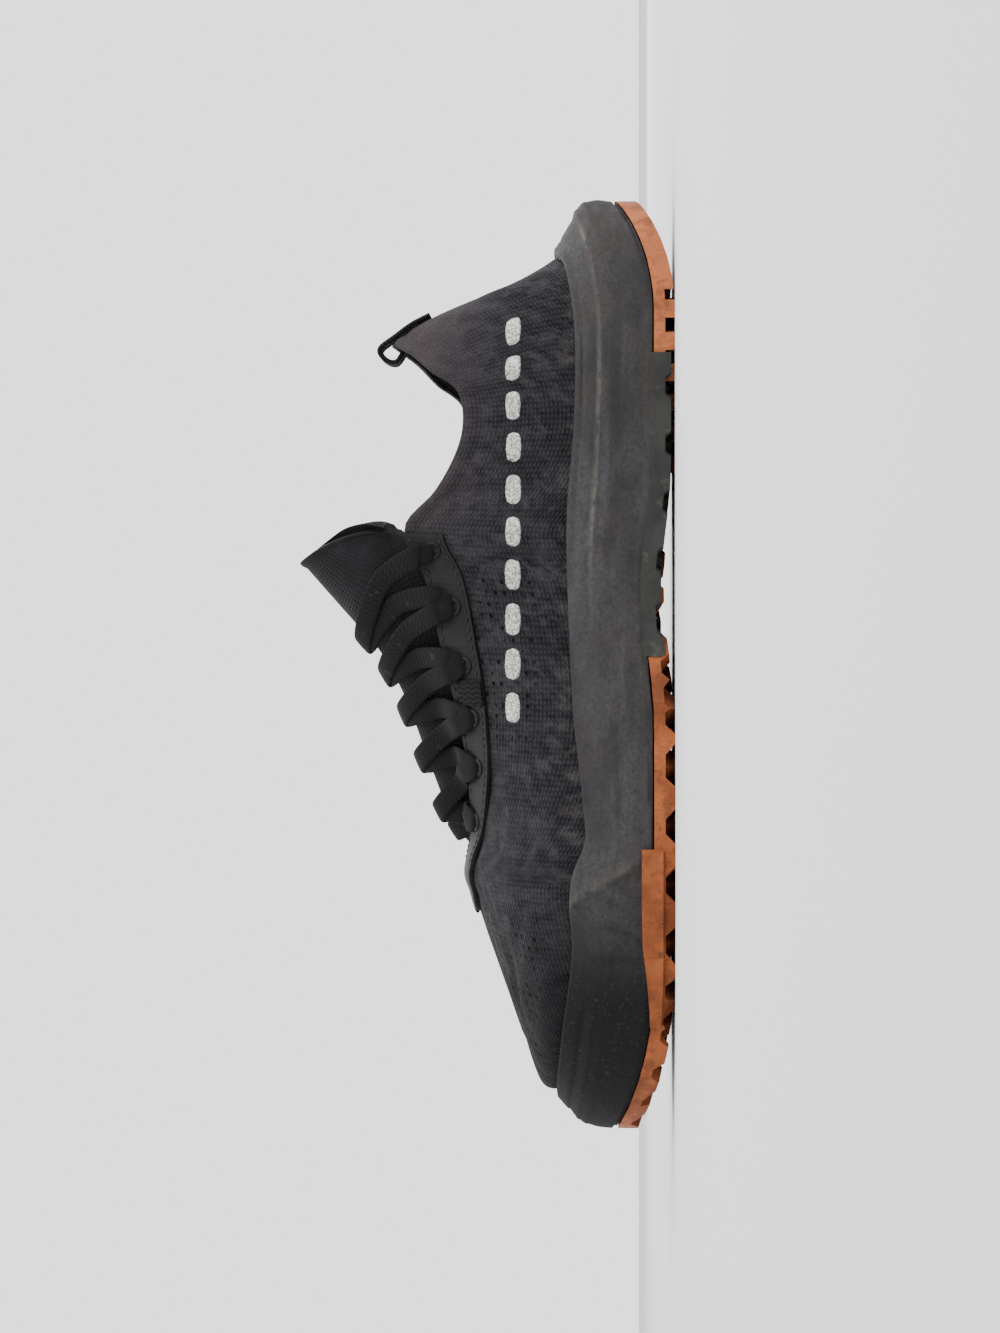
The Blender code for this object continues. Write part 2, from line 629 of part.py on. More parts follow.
def make_midsole(foam):
    bm = bmesh.new()
    outer, inner = side_rows(OUTER), side_rows(INNER)
    add_skin(bm, outer)
    add_skin(bm, inner)
    add_skin(bm, crossing_rows(outer[0], inner[0], deck))
    add_skin(bm, crossing_rows(outer[-1], inner[-1], lambda p: BED.at(along_of(p), "height")))
    weld(bm)
    bmesh.ops.triangulate(bm, faces=bm.faces)
    body = make_object(bm, "midsole_body", None)
    whole = [inset_point(a, OUTER, GAP) for a in stations()]
    whole += [inset_point(a, INNER, GAP) for a in reversed(stations()[1:-1])]
    tread = combine(mid_slab(), prism(whole, LOW, HIGH), "INTERSECT")
    for plan in (rubber_plan(HEEL_INNER_EDGE, "heel"), rubber_plan(BALL_INNER_EDGE, "toe")):
        tread = combine(tread, prism(grow(plan, GAP), LOW, HIGH), "DIFFERENCE")
    body = combine(body, tread, "UNION")
    body = combine(body, foam_plugs(heel_windows() + ball_windows()), "UNION")
    finish(body, "midsole", foam)


# Upper

def rib_curve(along, side):
    """Foot, then the four handles of the curve from the lip of the midsole to the top edge."""
    lean = WALL.at(along, "lean") + LIP_WALL + GAP
    foot = inset_point(along, side, lean)
    foot.z = BED.at(along_of(foot), "height") + GAP
    wall = inset_point(along, side, lean, WALL.at(along, "top"))
    place = RIBS.at(along, "along")
    closed = along >= THROAT_FOOT
    across = 0.0 if closed else max(0.0, RIBS.at(along, "across"))
    middle = 0.5 * PLAN.at(place, "swing") + RIDGE_SHIFT * min(1, (place - RIBS.rows[0, 1]) / 0.3)
    top = Vector((middle + side * across, place * SOLE_LENGTH - HEEL_REST, RIBS.at(along, "height")))
    if side == INNER and not closed:
        top.z += INNER_RISE * math.sin(math.pi * along / THROAT_FOOT) ** 2
    rise = top.z - wall.z
    away = Vector((wall.x - top.x, wall.y - top.y, 0)) * RIBS.at(along, "reach")
    lift = Vector((0, 0, RIBS.at(along, "lift"))) + RIBS.at(along, "swell") * edge_normal(along, side)
    droop = (away.y * crest_slope(along) if closed else 0) - RIBS.at(along, "droop") * rise
    return foot, (wall, wall + rise * lift, top + away + Vector((0, 0, droop)), top)


def crest_slope(along):
    step = 0.01
    low, high = max(THROAT_FOOT, along - step), min(1, along + step)
    rise = RIBS.at(high, "height") - RIBS.at(low, "height")
    run = (RIBS.at(high, "along") - RIBS.at(low, "along")) * SOLE_LENGTH
    return rise / run


def bezier(handles, t):
    a, b, c, d = handles
    return (1 - t) ** 3 * a + 3 * t * (1 - t) ** 2 * b + 3 * t * t * (1 - t) * c + t ** 3 * d


def rib(along, side):
    """Points of one rib of the upper, from the foot bed to the top edge."""
    foot, curve = rib_curve(along, side)
    return [foot] + [bezier(curve, k / RIB_STEPS) for k in range(RIB_STEPS + 1)]


def upper_point(along, side, back):
    """Point of the upper at a distance below its top edge, measured along the rib."""
    curve = rib_curve(along, side)[1]
    steps = 40
    walked, here = 0.0, curve[3]
    for k in range(1, steps + 1):
        below = bezier(curve, 1 - k / steps)
        stride = (below - here).length
        if walked + stride >= back:
            return here.lerp(below, (back - walked) / stride)
        walked, here = walked + stride, below
    return here


def upper_normal(along, side, back):
    """Outward direction of the upper."""
    step = 0.006
    before, after = max(0, along - step), min(1, along + step)
    if (before < THROAT_FOOT) != (after < THROAT_FOOT):
        before, after = (along, after) if along >= THROAT_FOOT else (before, along)
    lengthwise = upper_point(after, side, back) - upper_point(before, side, back)
    downwards = upper_point(along, side, back + 0.001) - upper_point(along, side, max(0, back - 0.001))
    normal = lengthwise.cross(downwards).normalized()
    return normal if normal.dot(upper_point(along, side, back) - foot_centre(along)) > 0 else -normal


def foot_centre(along):
    """A point inside the shoe, low in the section."""
    place = RIBS.at(along, "along")
    return plan_point(place, 0) + Vector((0, 0, BED.at(place, "height")))


def on_upper(along, side, back, out):
    return upper_point(along, side, back) + out * upper_normal(along, side, back)


def thicken(obj, thickness, offset):
    wall = obj.modifiers.new("wall", "SOLIDIFY")
    wall.thickness = thickness
    wall.offset = offset
    wall.use_quality_normals = True


def face_up(bm):
    """Turn an open skin so that its faces look away from the foot."""
    bmesh.ops.recalc_face_normals(bm, faces=bm.faces)
    if sum(face.normal.z * face.calc_area() for face in bm.faces) < 0:
        bmesh.ops.reverse_faces(bm, faces=bm.faces)


def make_upper(knit):
    bm = bmesh.new()
    for side in (OUTER, INNER):
        add_skin(bm, [rib(along, side) for along in stations()])
    weld(bm)
    thicken(make_object(bm, "upper", knit), UPPER_WALL, -1)


# Eyestay, side tab, tongue, insole, pull loop and laces

OVERLAY_GAP = 0.0006
EYESTAY_COLUMNS = 4
EYESTAY_FRONT = 0.790        # rib of the front end of the eyestay
FRONT_ROWS = 5


def throat_stations(last):
    return [along for along in stations() if EYELET_FOOT < along < last]


def eyestay_rows():
    """Ribs of the eyestay and its width there: full beside the throat, round in front of it."""
    rows = [(along, 1.0) for along in throat_stations(THROAT_FOOT)]
    for k in range(FRONT_ROWS + 1):
        share = math.sin(math.pi / 2 * k / FRONT_ROWS)
        width = max(0.12, math.cos(math.pi / 2 * k / FRONT_ROWS))
        rows.append((THROAT_FOOT + GAP + (EYESTAY_FRONT - THROAT_FOOT) * share, width))
    return rows


def make_eyestay(smooth_black):
    bm = bmesh.new()
    shares = [k / (EYESTAY_COLUMNS - 1) for k in range(EYESTAY_COLUMNS)]
    for side in (OUTER, INNER):
        add_skin(bm, [[on_upper(along, side, EYESTAY_WIDTH * width * share, OVERLAY_GAP) for share in shares]
                      for along, width in eyestay_rows()])
    weld(bm, 0.0002)
    face_up(bm)
    thicken(make_object(bm, "eyestay", smooth_black), EYESTAY_WALL, 1)


TAB_FOOT = 0.525
TAB_START = 0.0035           # from the edge of the throat


def make_side_tab(smooth_black):
    """Plain tab on the eyestay of the outer side, between two lace holes."""
    bm = bmesh.new()
    half = TAB_WIDTH / SOLE_LENGTH / 2
    out = 2 * OVERLAY_GAP + EYESTAY_WALL
    add_skin(bm, [[on_upper(along, OUTER, TAB_START + TAB_HEIGHT * k / 2, out) for k in range(3)]
                  for along in (TAB_FOOT - half, TAB_FOOT, TAB_FOOT + half)])
    bmesh.ops.recalc_face_normals(bm, faces=bm.faces)
    if sum(face.normal.x for face in bm.faces) > 0:
        bmesh.ops.reverse_faces(bm, faces=bm.faces)
    thicken(make_object(bm, "side_tab", smooth_black), TAB_THICKNESS, 1)


TUCK = 0.008                 # how far the tongue reaches under the edges of the throat
TONGUE_GAP = 0.0012
TONGUE_FRONT = 0.84


def dome(along, side):
    """Handles of the tongue from under the edge of the throat to its crest."""
    edge = on_upper(along, side, 0, -UPPER_WALL - TONGUE_GAP)
    below = on_upper(along, side, 0.003, -UPPER_WALL - TONGUE_GAP)
    place = CREST.at(along, "along")
    crest = plan_point(place, 0)
    crest.x = 0.5 * PLAN.at(place, "swing") + RIDGE_SHIFT
    crest.z = CREST.at(along, "height")
    reach = (crest - edge).length
    climb = edge + (edge - below).normalized() * 0.38 * reach
    return edge, climb, crest + Vector((0.5 * (edge.x - crest.x), 0, 0)), crest


def tongue_half_row(along, side):
    """From the tucked side edge of the tongue to its crest."""
    if along >= THROAT_FOOT:
        return [on_upper(along, side, TUCK * 2.2 * (1 - k / 5), -UPPER_WALL - TONGUE_GAP) for k in range(6)]
    tucked = [on_upper(along, side, TUCK * share, -UPPER_WALL - TONGUE_GAP) for share in (1, 0.5)]
    curve = dome(along, side)
    return tucked + [bezier(curve, k / 3) for k in range(4)]


def free_top_row(side):
    """Top edge of the tongue, bowed forward in the middle."""
    middle = 0.5 * PLAN.at(0.38, "swing") + RIDGE_SHIFT
    half = 0.86 * THROAT_WIDTH / 2
    edge = Vector((middle + side * half, 0.355 * SOLE_LENGTH - HEEL_REST, 0.765 * TONGUE_HEIGHT))
    crest = Vector((middle, 0.385 * SOLE_LENGTH - HEEL_REST, TONGUE_HEIGHT))
    side_handle = edge + Vector((-side * 0.2 * half, -0.002, 0.45 * (crest.z - edge.z)))
    curve = (edge, side_handle, crest + Vector((side * 0.6 * half, 0, 0)), crest)
    return [bezier(curve, k / 5) for k in range(6)]


def tongue_rows(side):
    rows = [tongue_half_row(along, side) for along in reversed(throat_stations(TONGUE_FRONT))]
    top = free_top_row(side)
    rows.append([a.lerp(b, 0.55) for a, b in zip(rows[-1], top)])
    return rows + [top]


def make_tongue(padding):
    bm = bmesh.new()
    for side in (OUTER, INNER):
        add_skin(bm, tongue_rows(side))
    weld(bm, 0.0002)
    bmesh.ops.triangulate(bm, faces=bm.faces)
    face_up(bm)
    thicken(make_object(bm, "tongue", padding), TONGUE_WALL, -1)


def make_insole(board):
    """Removable insole, clear of the wall of the upper all round."""
    bm = bmesh.new()

    def edge(side, height):
        points = []
        for along in stations():
            inset = WALL.at(along, "lean") + LIP_WALL + 6 * GAP + UPPER_WALL
            point = inset_point(along, side, inset)
            point.z = BED.at(along_of(point), "height") + height
            points.append(point)
        return points

    low, high = 1.5 * GAP, 1.5 * GAP + INSOLE_WALL
    for side in (OUTER, INNER):
        add_skin(bm, [edge(side, low), edge(side, high)])
    for height in (low, high):
        level = lambda p, h=height: BED.at(along_of(p), "height") + h
        add_skin(bm, crossing_rows(edge(OUTER, height), edge(INNER, height), level))
    weld(bm)
    make_object(bm, "insole", board)


def smooth_path(points, steps):
    """Points along a smooth curve through the given ones."""
    path = []
    padded = [2 * points[0] - points[1]] + points + [2 * points[-1] - points[-2]]
    for a, b, c, d in zip(padded, padded[1:], padded[2:], padded[3:]):
        for k in range(steps):
            t = k / steps
            path.append(0.5 * (2 * b + (c - a) * t + (2 * a - 5 * b + 4 * c - d) * t * t
                               + (3 * b - a - 3 * c + d) * t ** 3))
    return path + [points[-1]]


LOOP_REACH = 0.014           # how far the loop is sewn down the heel
LOOP_GAP = 0.0012


def with_neighbours(items):
    return zip(items[:1] + items[:-1], items, items[1:] + items[-1:])


def add_webbing(bm, path, bows):
    """Closed webbing along a path in the middle plane, bowed across to follow the heel."""
    columns = [LOOP_WIDTH * share for share in (-0.5, -0.25, 0, 0.25, 0.5)]
    skins = []
    for sign in (1, -1):
        rows = []
        for (before, here, after), bow in zip(with_neighbours(path), bows):
            out = (after - before).cross(Vector((1, 0, 0))).normalized() * sign * LOOP_THICKNESS / 2
            rows.append([here + out + Vector((x, bow * x * x, 0)) for x in columns])
        skins.append(rows)
        add_skin(bm, rows)
    top, bottom = skins
    for end in (0, -1):
        add_skin(bm, [top[end], bottom[end]])
        add_skin(bm, [[row[end] for row in top], [row[end] for row in bottom]])
    weld(bm)


def heel_bow(back):
    """How strongly the heel curves in plan, at a distance below the collar."""
    middle, beside = upper_point(0, OUTER, back), upper_point(0.05, OUTER, back)
    return (beside.y - middle.y) / (beside.x - middle.x) ** 2


def make_pull_loop(webbing):
    """Webbing that stands off the top of the heel, sewn down outside and inside."""
    out = LOOP_GAP + LOOP_THICKNESS / 2
    outside, inside = (LOOP_REACH, 0.6 * LOOP_REACH, 0.2 * LOOP_REACH), (0.2 * LOOP_REACH, 0.6 * LOOP_REACH)
    rim = upper_point(0, OUTER, 0)
    beyond = (rim - upper_point(0, OUTER, 0.003)).normalized()
    across = upper_normal(0, OUTER, 0)
    stand = LOOP_STAND + LOOP_THICKNESS / 2
    peak = [rim + stand * (0.75 * beyond + 0.6 * across),
            rim + stand * 1.15 * beyond - UPPER_WALL / 2 * across,
            rim + stand * (0.7 * beyond - 0.5 * across) - UPPER_WALL * across]
    path = [on_upper(0, OUTER, back, out) for back in outside] + peak
    path += [on_upper(0, OUTER, back, -UPPER_WALL - out) for back in inside]
    bows = [heel_bow(back) for back in outside + (0, 0, 0) + inside]
    bm = bmesh.new()
    add_webbing(bm, smooth_path(path, 2), smooth_path(bows, 2))
    make_object(bm, "pull_loop", webbing)


LACE_FIRST, LACE_LAST = 0.664, 0.385
LACE_END = 0.007             # how far a lace reaches over the eyestay
LACE_GAP = 0.0020


def eyelet(row, side):
    """Rib and side of an eyelet, counted from the toe."""
    return LACE_FIRST + (LACE_LAST - LACE_FIRST) * row / (LACE_ROWS - 1), side


def over_tongue(along, side, share, lift):
    """Point and outward direction above the tongue, at a share of the way up to its crest."""
    here = bezier(dome(along, side), share)
    ahead = bezier(dome(along - 0.01, side), share) - bezier(dome(along + 0.01, side), share)
    beside = Vector((1, 0, 0)) if share == 1 else here - bezier(dome(along, side), share - 0.1)
    normal = beside.cross(ahead).normalized()
    normal *= math.copysign(1, normal.z)
    return here + lift * normal, normal


def lace_path(start, end, raised):
    """Points and outward directions from one eyelet over the tongue to another."""
    above = OVERLAY_GAP + EYESTAY_WALL + LACE_GAP + LACE_THICKNESS / 2 + raised
    low = LACE_GAP + LACE_THICKNESS / 2 + raised
    stops = []
    for part, back, climb, lift in ((0.00, LACE_END, 0, above), (0.15, 0, 0, above), (0.32, 0, 0.6, low),
                                    (0.50, 0, 1, low), (0.68, 0, 0.6, low),
                                    (0.85, 0, 0, above), (1.00, LACE_END, 0, above)):
        along = start[0] + (end[0] - start[0]) * part
        side = start[1] if part < 0.6 else end[1]
        if climb:
            stops.append(over_tongue(along, side, climb, lift))
        else:
            stops.append((on_upper(along, side, back, lift), upper_normal(along, side, back)))
    return stops


def lace_strip(start, end, raised):
    """One flat run of lace."""
    stops = lace_path(start, end, raised)
    sections = []
    for (before, one), (here, two), (after, three) in with_neighbours(stops):
        sideways = (after - before).cross(one + two + three).normalized() * LACE_WIDTH / 2
        up = sideways.cross(after - before).normalized() * LACE_THICKNESS / 2
        sections.append([here + sideways + up, here - sideways + up,
                         here - sideways - up, here + sideways - up])
    bm = bmesh.new()
    add_strip(bm, sections)
    return make_object(bm, "strip", None)


def make_laces(cord):
    laces = lace_strip(eyelet(0, OUTER), eyelet(0, INNER), 0)
    for row in range(LACE_ROWS - 1):
        for side, raised in ((OUTER, 0.3 * LACE_THICKNESS), (INNER, 0.6 * LACE_THICKNESS)):
            strip = lace_strip(eyelet(row, side), eyelet(row + 1, -side), raised)
            laces = combine(laces, strip, "UNION")
    finish(laces, "laces", cord)


def main():
    for obj in list(bpy.data.objects):
        bpy.data.objects.remove(obj)
    rubber = paint("gum rubber", (0.36, 0.12, 0.05), 0.6)
    foam = paint("charcoal foam", (0.045, 0.045, 0.047), 0.8)
    knit = paint("charcoal knit", (0.03, 0.03, 0.034), 0.95)
    black = paint("smooth black overlay", (0.012, 0.012, 0.013), 0.6)
    padding = paint("black padding", (0.015, 0.015, 0.017), 0.9)
    webbing = paint("black webbing", (0.015, 0.014, 0.015), 0.9)
    lining = paint("grey insole cloth", (0.05, 0.05, 0.055), 0.95)
    make_outsoles(rubber)
    make_midsole(foam)
    make_upper(knit)
    make_insole(lining)
    make_tongue(padding)
    make_eyestay(black)
    make_side_tab(black)
    make_pull_loop(webbing)
    make_laces(webbing)


main()
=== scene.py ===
"""Low knit trainer for the left foot, worn, standing empty on its sole.

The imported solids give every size.  The knit, foam, rubber, laces and trim are made here over them,
on the same last.  Metres, +Z up, +Y to the toe, -X to the outer side of the foot.
"""
import math
from bisect import bisect_left
from functools import lru_cache

import bmesh
import bpy
import numpy as np
from mathutils import Matrix, Vector


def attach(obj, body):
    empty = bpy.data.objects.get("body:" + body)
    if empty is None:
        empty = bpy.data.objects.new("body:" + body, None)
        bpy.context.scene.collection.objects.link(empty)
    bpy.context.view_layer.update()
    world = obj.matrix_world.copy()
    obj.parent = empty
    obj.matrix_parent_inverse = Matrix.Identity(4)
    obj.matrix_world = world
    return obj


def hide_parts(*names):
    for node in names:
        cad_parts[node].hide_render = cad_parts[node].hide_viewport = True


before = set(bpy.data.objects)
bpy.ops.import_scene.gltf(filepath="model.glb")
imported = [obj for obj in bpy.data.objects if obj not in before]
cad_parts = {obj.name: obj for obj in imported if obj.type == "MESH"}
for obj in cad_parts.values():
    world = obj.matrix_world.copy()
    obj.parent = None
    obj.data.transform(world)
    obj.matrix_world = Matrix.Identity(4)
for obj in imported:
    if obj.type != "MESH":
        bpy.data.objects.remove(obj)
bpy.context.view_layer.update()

# Sizes of the sole
SOLE_LENGTH = 0.300
HEEL_WIDTH = 0.086
WAIST_WIDTH = 0.077
BALL_WIDTH = 0.108
LAST_SWING = 0.0075
HEEL_REST = 0.045
HEEL_BEVEL = 0.0125
ARCH_LIFT = 0.0045
TOE_SPRING = 0.012
LUG_DEPTH = 0.003
RUBBER_SHEET = 0.0035

# Heights of the side of the midsole above the floor
HEEL_PEAK = 0.038
HEEL_WALL = 0.031
WAIST_WALL = 0.0332
BALL_WALL = 0.028
TOE_WALL = 0.036
HEEL_LEAN = 0.0155
SIDE_LEAN = 0.003
TOE_LEAN = 0.0095
RIDGE_STEP = 0.0009
LIP_WALL = 0.003
HEEL_BED = 0.021
BALL_BED = 0.0135
TOE_BED = 0.019

# Heights and widths of the upper
TOE_HEIGHT = 0.0445
VAMP_HEIGHT = 0.066
EYELET_HEIGHT = 0.085
DIP_HEIGHT = 0.068
COLLAR_HEIGHT = 0.091
COLLAR_WIDTH = 0.062
THROAT_WIDTH = 0.057
INNER_RISE = 0.003
RIDGE_SHIFT = 0.003
UPPER_WALL = 0.0025

# Tongue, eyestay, laces, pull loop and side tab
TONGUE_HEIGHT = 0.121
TONGUE_WALL = 0.0035
EYESTAY_WIDTH = 0.013
EYESTAY_WALL = 0.0012
LACE_WIDTH = 0.0068
LACE_THICKNESS = 0.0013
LACE_ROWS = 6
LOOP_WIDTH = 0.012
LOOP_THICKNESS = 0.0016
LOOP_STAND = 0.0030
TAB_WIDTH = 0.008
TAB_HEIGHT = 0.0095

GAP = 0.0003
HEEL_HALF = HEEL_WIDTH / 2
WAIST_HALF = WAIST_WIDTH / 2
BALL_HALF = BALL_WIDTH / 2
OUTER, INNER = -1, 1
THROAT_FOOT = 0.725
EYELET_FOOT = 0.360


class Table:
    """Rows under named columns, read between the rows along a smooth curve."""

    def __init__(self, columns, *rows):
        self.names = columns.split()
        self.rows = np.array(sorted(rows), float)
        self.keys = turn(self.rows[:, 0])
        self.slopes = np.gradient(self.rows, self.keys, axis=0)

    @lru_cache(None)
    def at(self, where, name):
        column = self.names.index(name)
        key = turn(where)
        k = int(np.clip(np.searchsorted(self.keys, key) - 1, 0, len(self.keys) - 2))
        span = self.keys[k + 1] - self.keys[k]
        t = (key - self.keys[k]) / span
        low, high = self.rows[k, column], self.rows[k + 1, column]
        return float((2 * t**3 - 3 * t**2 + 1) * low + (t**3 - 2 * t**2 + t) * span * self.slopes[k, column]
                     + (3 * t**2 - 2 * t**3) * high + (t**3 - t**2) * span * self.slopes[k + 1, column])


def turn(along):
    """Angle of a share of the length, which keeps the round ends of the sole round."""
    return np.arccos(1 - 2 * np.clip(along, 0, 1))


# The last: the same tables as the solids
PLAN = Table(
    "along half swing",
    (0.000, 0.000, 0.00),
    (0.017, 0.49 * HEEL_HALF, 0.00),
    (0.040, 0.72 * HEEL_HALF, 0.00),
    (0.083, 0.91 * HEEL_HALF, -0.03 * LAST_SWING),
    (0.150, 0.995 * HEEL_HALF, -0.04 * LAST_SWING),
    (0.250, 0.98 * HEEL_HALF, -0.16 * LAST_SWING),
    (0.350, 1.03 * WAIST_HALF, -0.50 * LAST_SWING),
    (0.433, 1.00 * WAIST_HALF, -0.80 * LAST_SWING),
    (0.500, 1.035 * WAIST_HALF, -0.96 * LAST_SWING),
    (0.583, 0.825 * BALL_HALF, -1.00 * LAST_SWING),
    (0.667, 0.935 * BALL_HALF, -0.67 * LAST_SWING),
    (0.740, 1.000 * BALL_HALF, -0.27 * LAST_SWING),
    (0.800, 0.996 * BALL_HALF, 0.04 * LAST_SWING),
    (0.867, 0.917 * BALL_HALF, 0.33 * LAST_SWING),
    (0.917, 0.780 * BALL_HALF, 0.53 * LAST_SWING),
    (0.957, 0.585 * BALL_HALF, 0.69 * LAST_SWING),
    (0.983, 0.370 * BALL_HALF, 0.87 * LAST_SWING),
    (1.000, 0.000, 1.07 * LAST_SWING),
)
WALL = Table(
    "along top lean ridge",
    (0.00, 1.00 * HEEL_PEAK, 1.00 * HEEL_LEAN, 1.0),
    (0.03, 0.97 * HEEL_PEAK, 0.76 * HEEL_LEAN, 1.0),
    (0.08, 1.08 * HEEL_WALL, 1.50 * SIDE_LEAN, 1.0),
    (0.15, 0.99 * HEEL_WALL, 1.05 * SIDE_LEAN, 1.0),
    (0.25, 1.00 * HEEL_WALL, 1.00 * SIDE_LEAN, 1.0),
    (0.35, 1.00 * WAIST_WALL, 1.00 * SIDE_LEAN, 0.6),
    (0.45, 0.98 * WAIST_WALL, 1.00 * SIDE_LEAN, 0.1),
    (0.55, 0.93 * WAIST_WALL, 1.00 * SIDE_LEAN, 0.0),
    (0.64, 1.00 * BALL_WALL, 1.00 * SIDE_LEAN, 0.0),
    (0.68, 0.98 * BALL_WALL, 1.00 * SIDE_LEAN, 0.0),
    (0.71, 1.10 * BALL_WALL, 0.85 * SIDE_LEAN, 0.0),
    (0.80, 1.12 * BALL_WALL, 1.00 * SIDE_LEAN, 0.0),
    (0.88, 0.95 * TOE_WALL, 0.50 * TOE_LEAN, 0.0),
    (0.94, 1.00 * TOE_WALL, 0.75 * TOE_LEAN, 0.0),
    (0.97, 1.02 * TOE_WALL, 0.92 * TOE_LEAN, 0.0),
    (1.00, 1.02 * TOE_WALL, 1.00 * TOE_LEAN, 0.0),
)
BED = Table(
    "along height",
    (0.00, HEEL_BED),
    (0.30, 0.98 * HEEL_BED),
    (0.50, 0.82 * HEEL_BED),
    (0.70, BALL_BED),
    (0.85, 1.03 * BALL_BED),
    (1.00, TOE_BED),
)
SIDEWALL = (
    (0.00, 0.20, 0.0),
    (0.07, 0.00, 0.0),
    (0.30, 0.00, 0.4),
    (0.52, 0.08, 0.9),
    (0.68, 0.26, 1.0),
    (0.73, 0.40, 0.0),
    (0.88, 0.72, 0.0),
    (1.00, 1.00, 0.0),
)
RIBS = Table(
    "foot along height across lift swell reach droop",
    (0.000, 0.155, 1.00 * COLLAR_HEIGHT, 0.00, 0.33, -0.26, 0.42, 0.17),
    (0.050, 0.160, 0.97 * COLLAR_HEIGHT, 0.32 * COLLAR_WIDTH / 2, 0.33, -0.20, 0.40, 0.20),
    (0.100, 0.172, 0.91 * COLLAR_HEIGHT, 0.60 * COLLAR_WIDTH / 2, 0.33, -0.12, 0.38, 0.24),
    (0.150, 0.190, 1.13 * DIP_HEIGHT, 0.82 * COLLAR_WIDTH / 2, 0.33, -0.06, 0.35, 0.28),
    (0.205, 0.215, 0.995 * DIP_HEIGHT, 0.96 * COLLAR_WIDTH / 2, 0.33, -0.03, 0.30, 0.33),
    (0.260, 0.262, 0.99 * DIP_HEIGHT, 1.00 * COLLAR_WIDTH / 2, 0.33, -0.02, 0.35, 0.33),
    (0.315, 0.315, 0.885 * EYELET_HEIGHT, 0.97 * COLLAR_WIDTH / 2, 0.35, -0.02, 0.40, 0.30),
    (0.360, 0.353, 1.00 * EYELET_HEIGHT, 1.00 * THROAT_WIDTH / 2, 0.36, -0.01, 0.40, 0.28),
    (0.410, 0.400, 0.925 * EYELET_HEIGHT, 0.97 * THROAT_WIDTH / 2, 0.38, 0.00, 0.40, 0.25),
    (0.480, 0.480, 1.10 * VAMP_HEIGHT, 0.88 * THROAT_WIDTH / 2, 0.40, 0.02, 0.40, 0.22),
    (0.550, 0.550, 1.02 * VAMP_HEIGHT, 0.76 * THROAT_WIDTH / 2, 0.42, 0.03, 0.40, 0.20),
    (0.620, 0.615, 0.97 * VAMP_HEIGHT, 0.60 * THROAT_WIDTH / 2, 0.45, 0.04, 0.40, 0.15),
    (0.680, 0.680, 0.965 * VAMP_HEIGHT, 0.38 * THROAT_WIDTH / 2, 0.50, 0.04, 0.45, 0.08),
    (0.712, 0.704, 0.985 * VAMP_HEIGHT, 0.23 * THROAT_WIDTH / 2, 0.53, 0.04, 0.48, 0.03),
    (0.725, 0.717, 1.00 * VAMP_HEIGHT, 0.00, 0.55, 0.04, 0.50, 0.08),
    (0.760, 0.742, 0.975 * VAMP_HEIGHT, 0.00, 0.58, 0.05, 0.55, 0.10),
    (0.820, 0.782, 0.92 * VAMP_HEIGHT, 0.00, 0.60, 0.05, 0.56, 0.13),
    (0.880, 0.820, 0.86 * VAMP_HEIGHT, 0.00, 0.60, 0.06, 0.58, 0.16),
    (0.930, 0.852, 1.20 * TOE_HEIGHT, 0.00, 0.62, 0.08, 0.60, 0.16),
    (0.975, 0.878, 1.14 * TOE_HEIGHT, 0.00, 0.64, 0.10, 0.62, 0.16),
    (1.000, 0.895, 1.10 * TOE_HEIGHT, 0.00, 0.66, 0.10, 0.64, 0.16),
)
CREST = Table(
    "foot along height",
    (0.360, 0.440, 0.885 * TONGUE_HEIGHT),
    (0.420, 0.475, 0.800 * TONGUE_HEIGHT),
    (0.500, 0.530, 0.720 * TONGUE_HEIGHT),
    (0.580, 0.600, 0.655 * TONGUE_HEIGHT),
    (0.650, 0.665, 0.590 * TONGUE_HEIGHT),
    (0.715, 0.705, 0.515 * TONGUE_HEIGHT),
)


def plan_point(along, across):
    half, swing = PLAN.at(along, "half"), PLAN.at(along, "swing")
    return Vector((swing + across * half, along * SOLE_LENGTH - HEEL_REST, 0))


@lru_cache(None)
def edge_normal(along, side):
    """Outward direction of the sole's outline, in plan."""
    step = 0.004
    angle = turn(along)
    if angle < step or angle > math.pi - step:
        return Vector((0, -1 if angle < step else 1, 0))
    before, after = ((1 - math.cos(angle + d)) / 2 for d in (-step, step))
    tangent = plan_point(after, side) - plan_point(before, side)
    return Vector((side * tangent.y, -side * tangent.x, 0)).normalized()


def inset_point(along, side, inset, height=0.0):
    point = plan_point(along, side) - inset * edge_normal(along, side)
    point.z = height
    return point


def along_of(point):
    return min(max((point.y + HEEL_REST) / SOLE_LENGTH, 0), 1)


def ground(point):
    """Height of the tread above the floor: rear bevel, arch and toe spring."""
    along = along_of(point)
    bevel, arch_start, arch_end, spring = 0.13, 0.29, 0.56, 0.82
    height = HEEL_BEVEL * max(0, 1 - along / bevel) ** 2
    height += TOE_SPRING * (max(0, along - spring) / (1 - spring)) ** 2
    if arch_start < along < arch_end:
        across = (point.x - PLAN.at(along, "swing")) / max(PLAN.at(along, "half"), GAP)
        bow = math.sin(math.pi * (along - arch_start) / (arch_end - arch_start)) ** 2
        height += ARCH_LIFT * bow * (1 + 0.3 * max(-1, min(1, across)))
    return height


def deck(point):
    """Underside of the foam above the rubber."""
    return ground(point) + LUG_DEPTH + RUBBER_SHEET + 1.5 * GAP


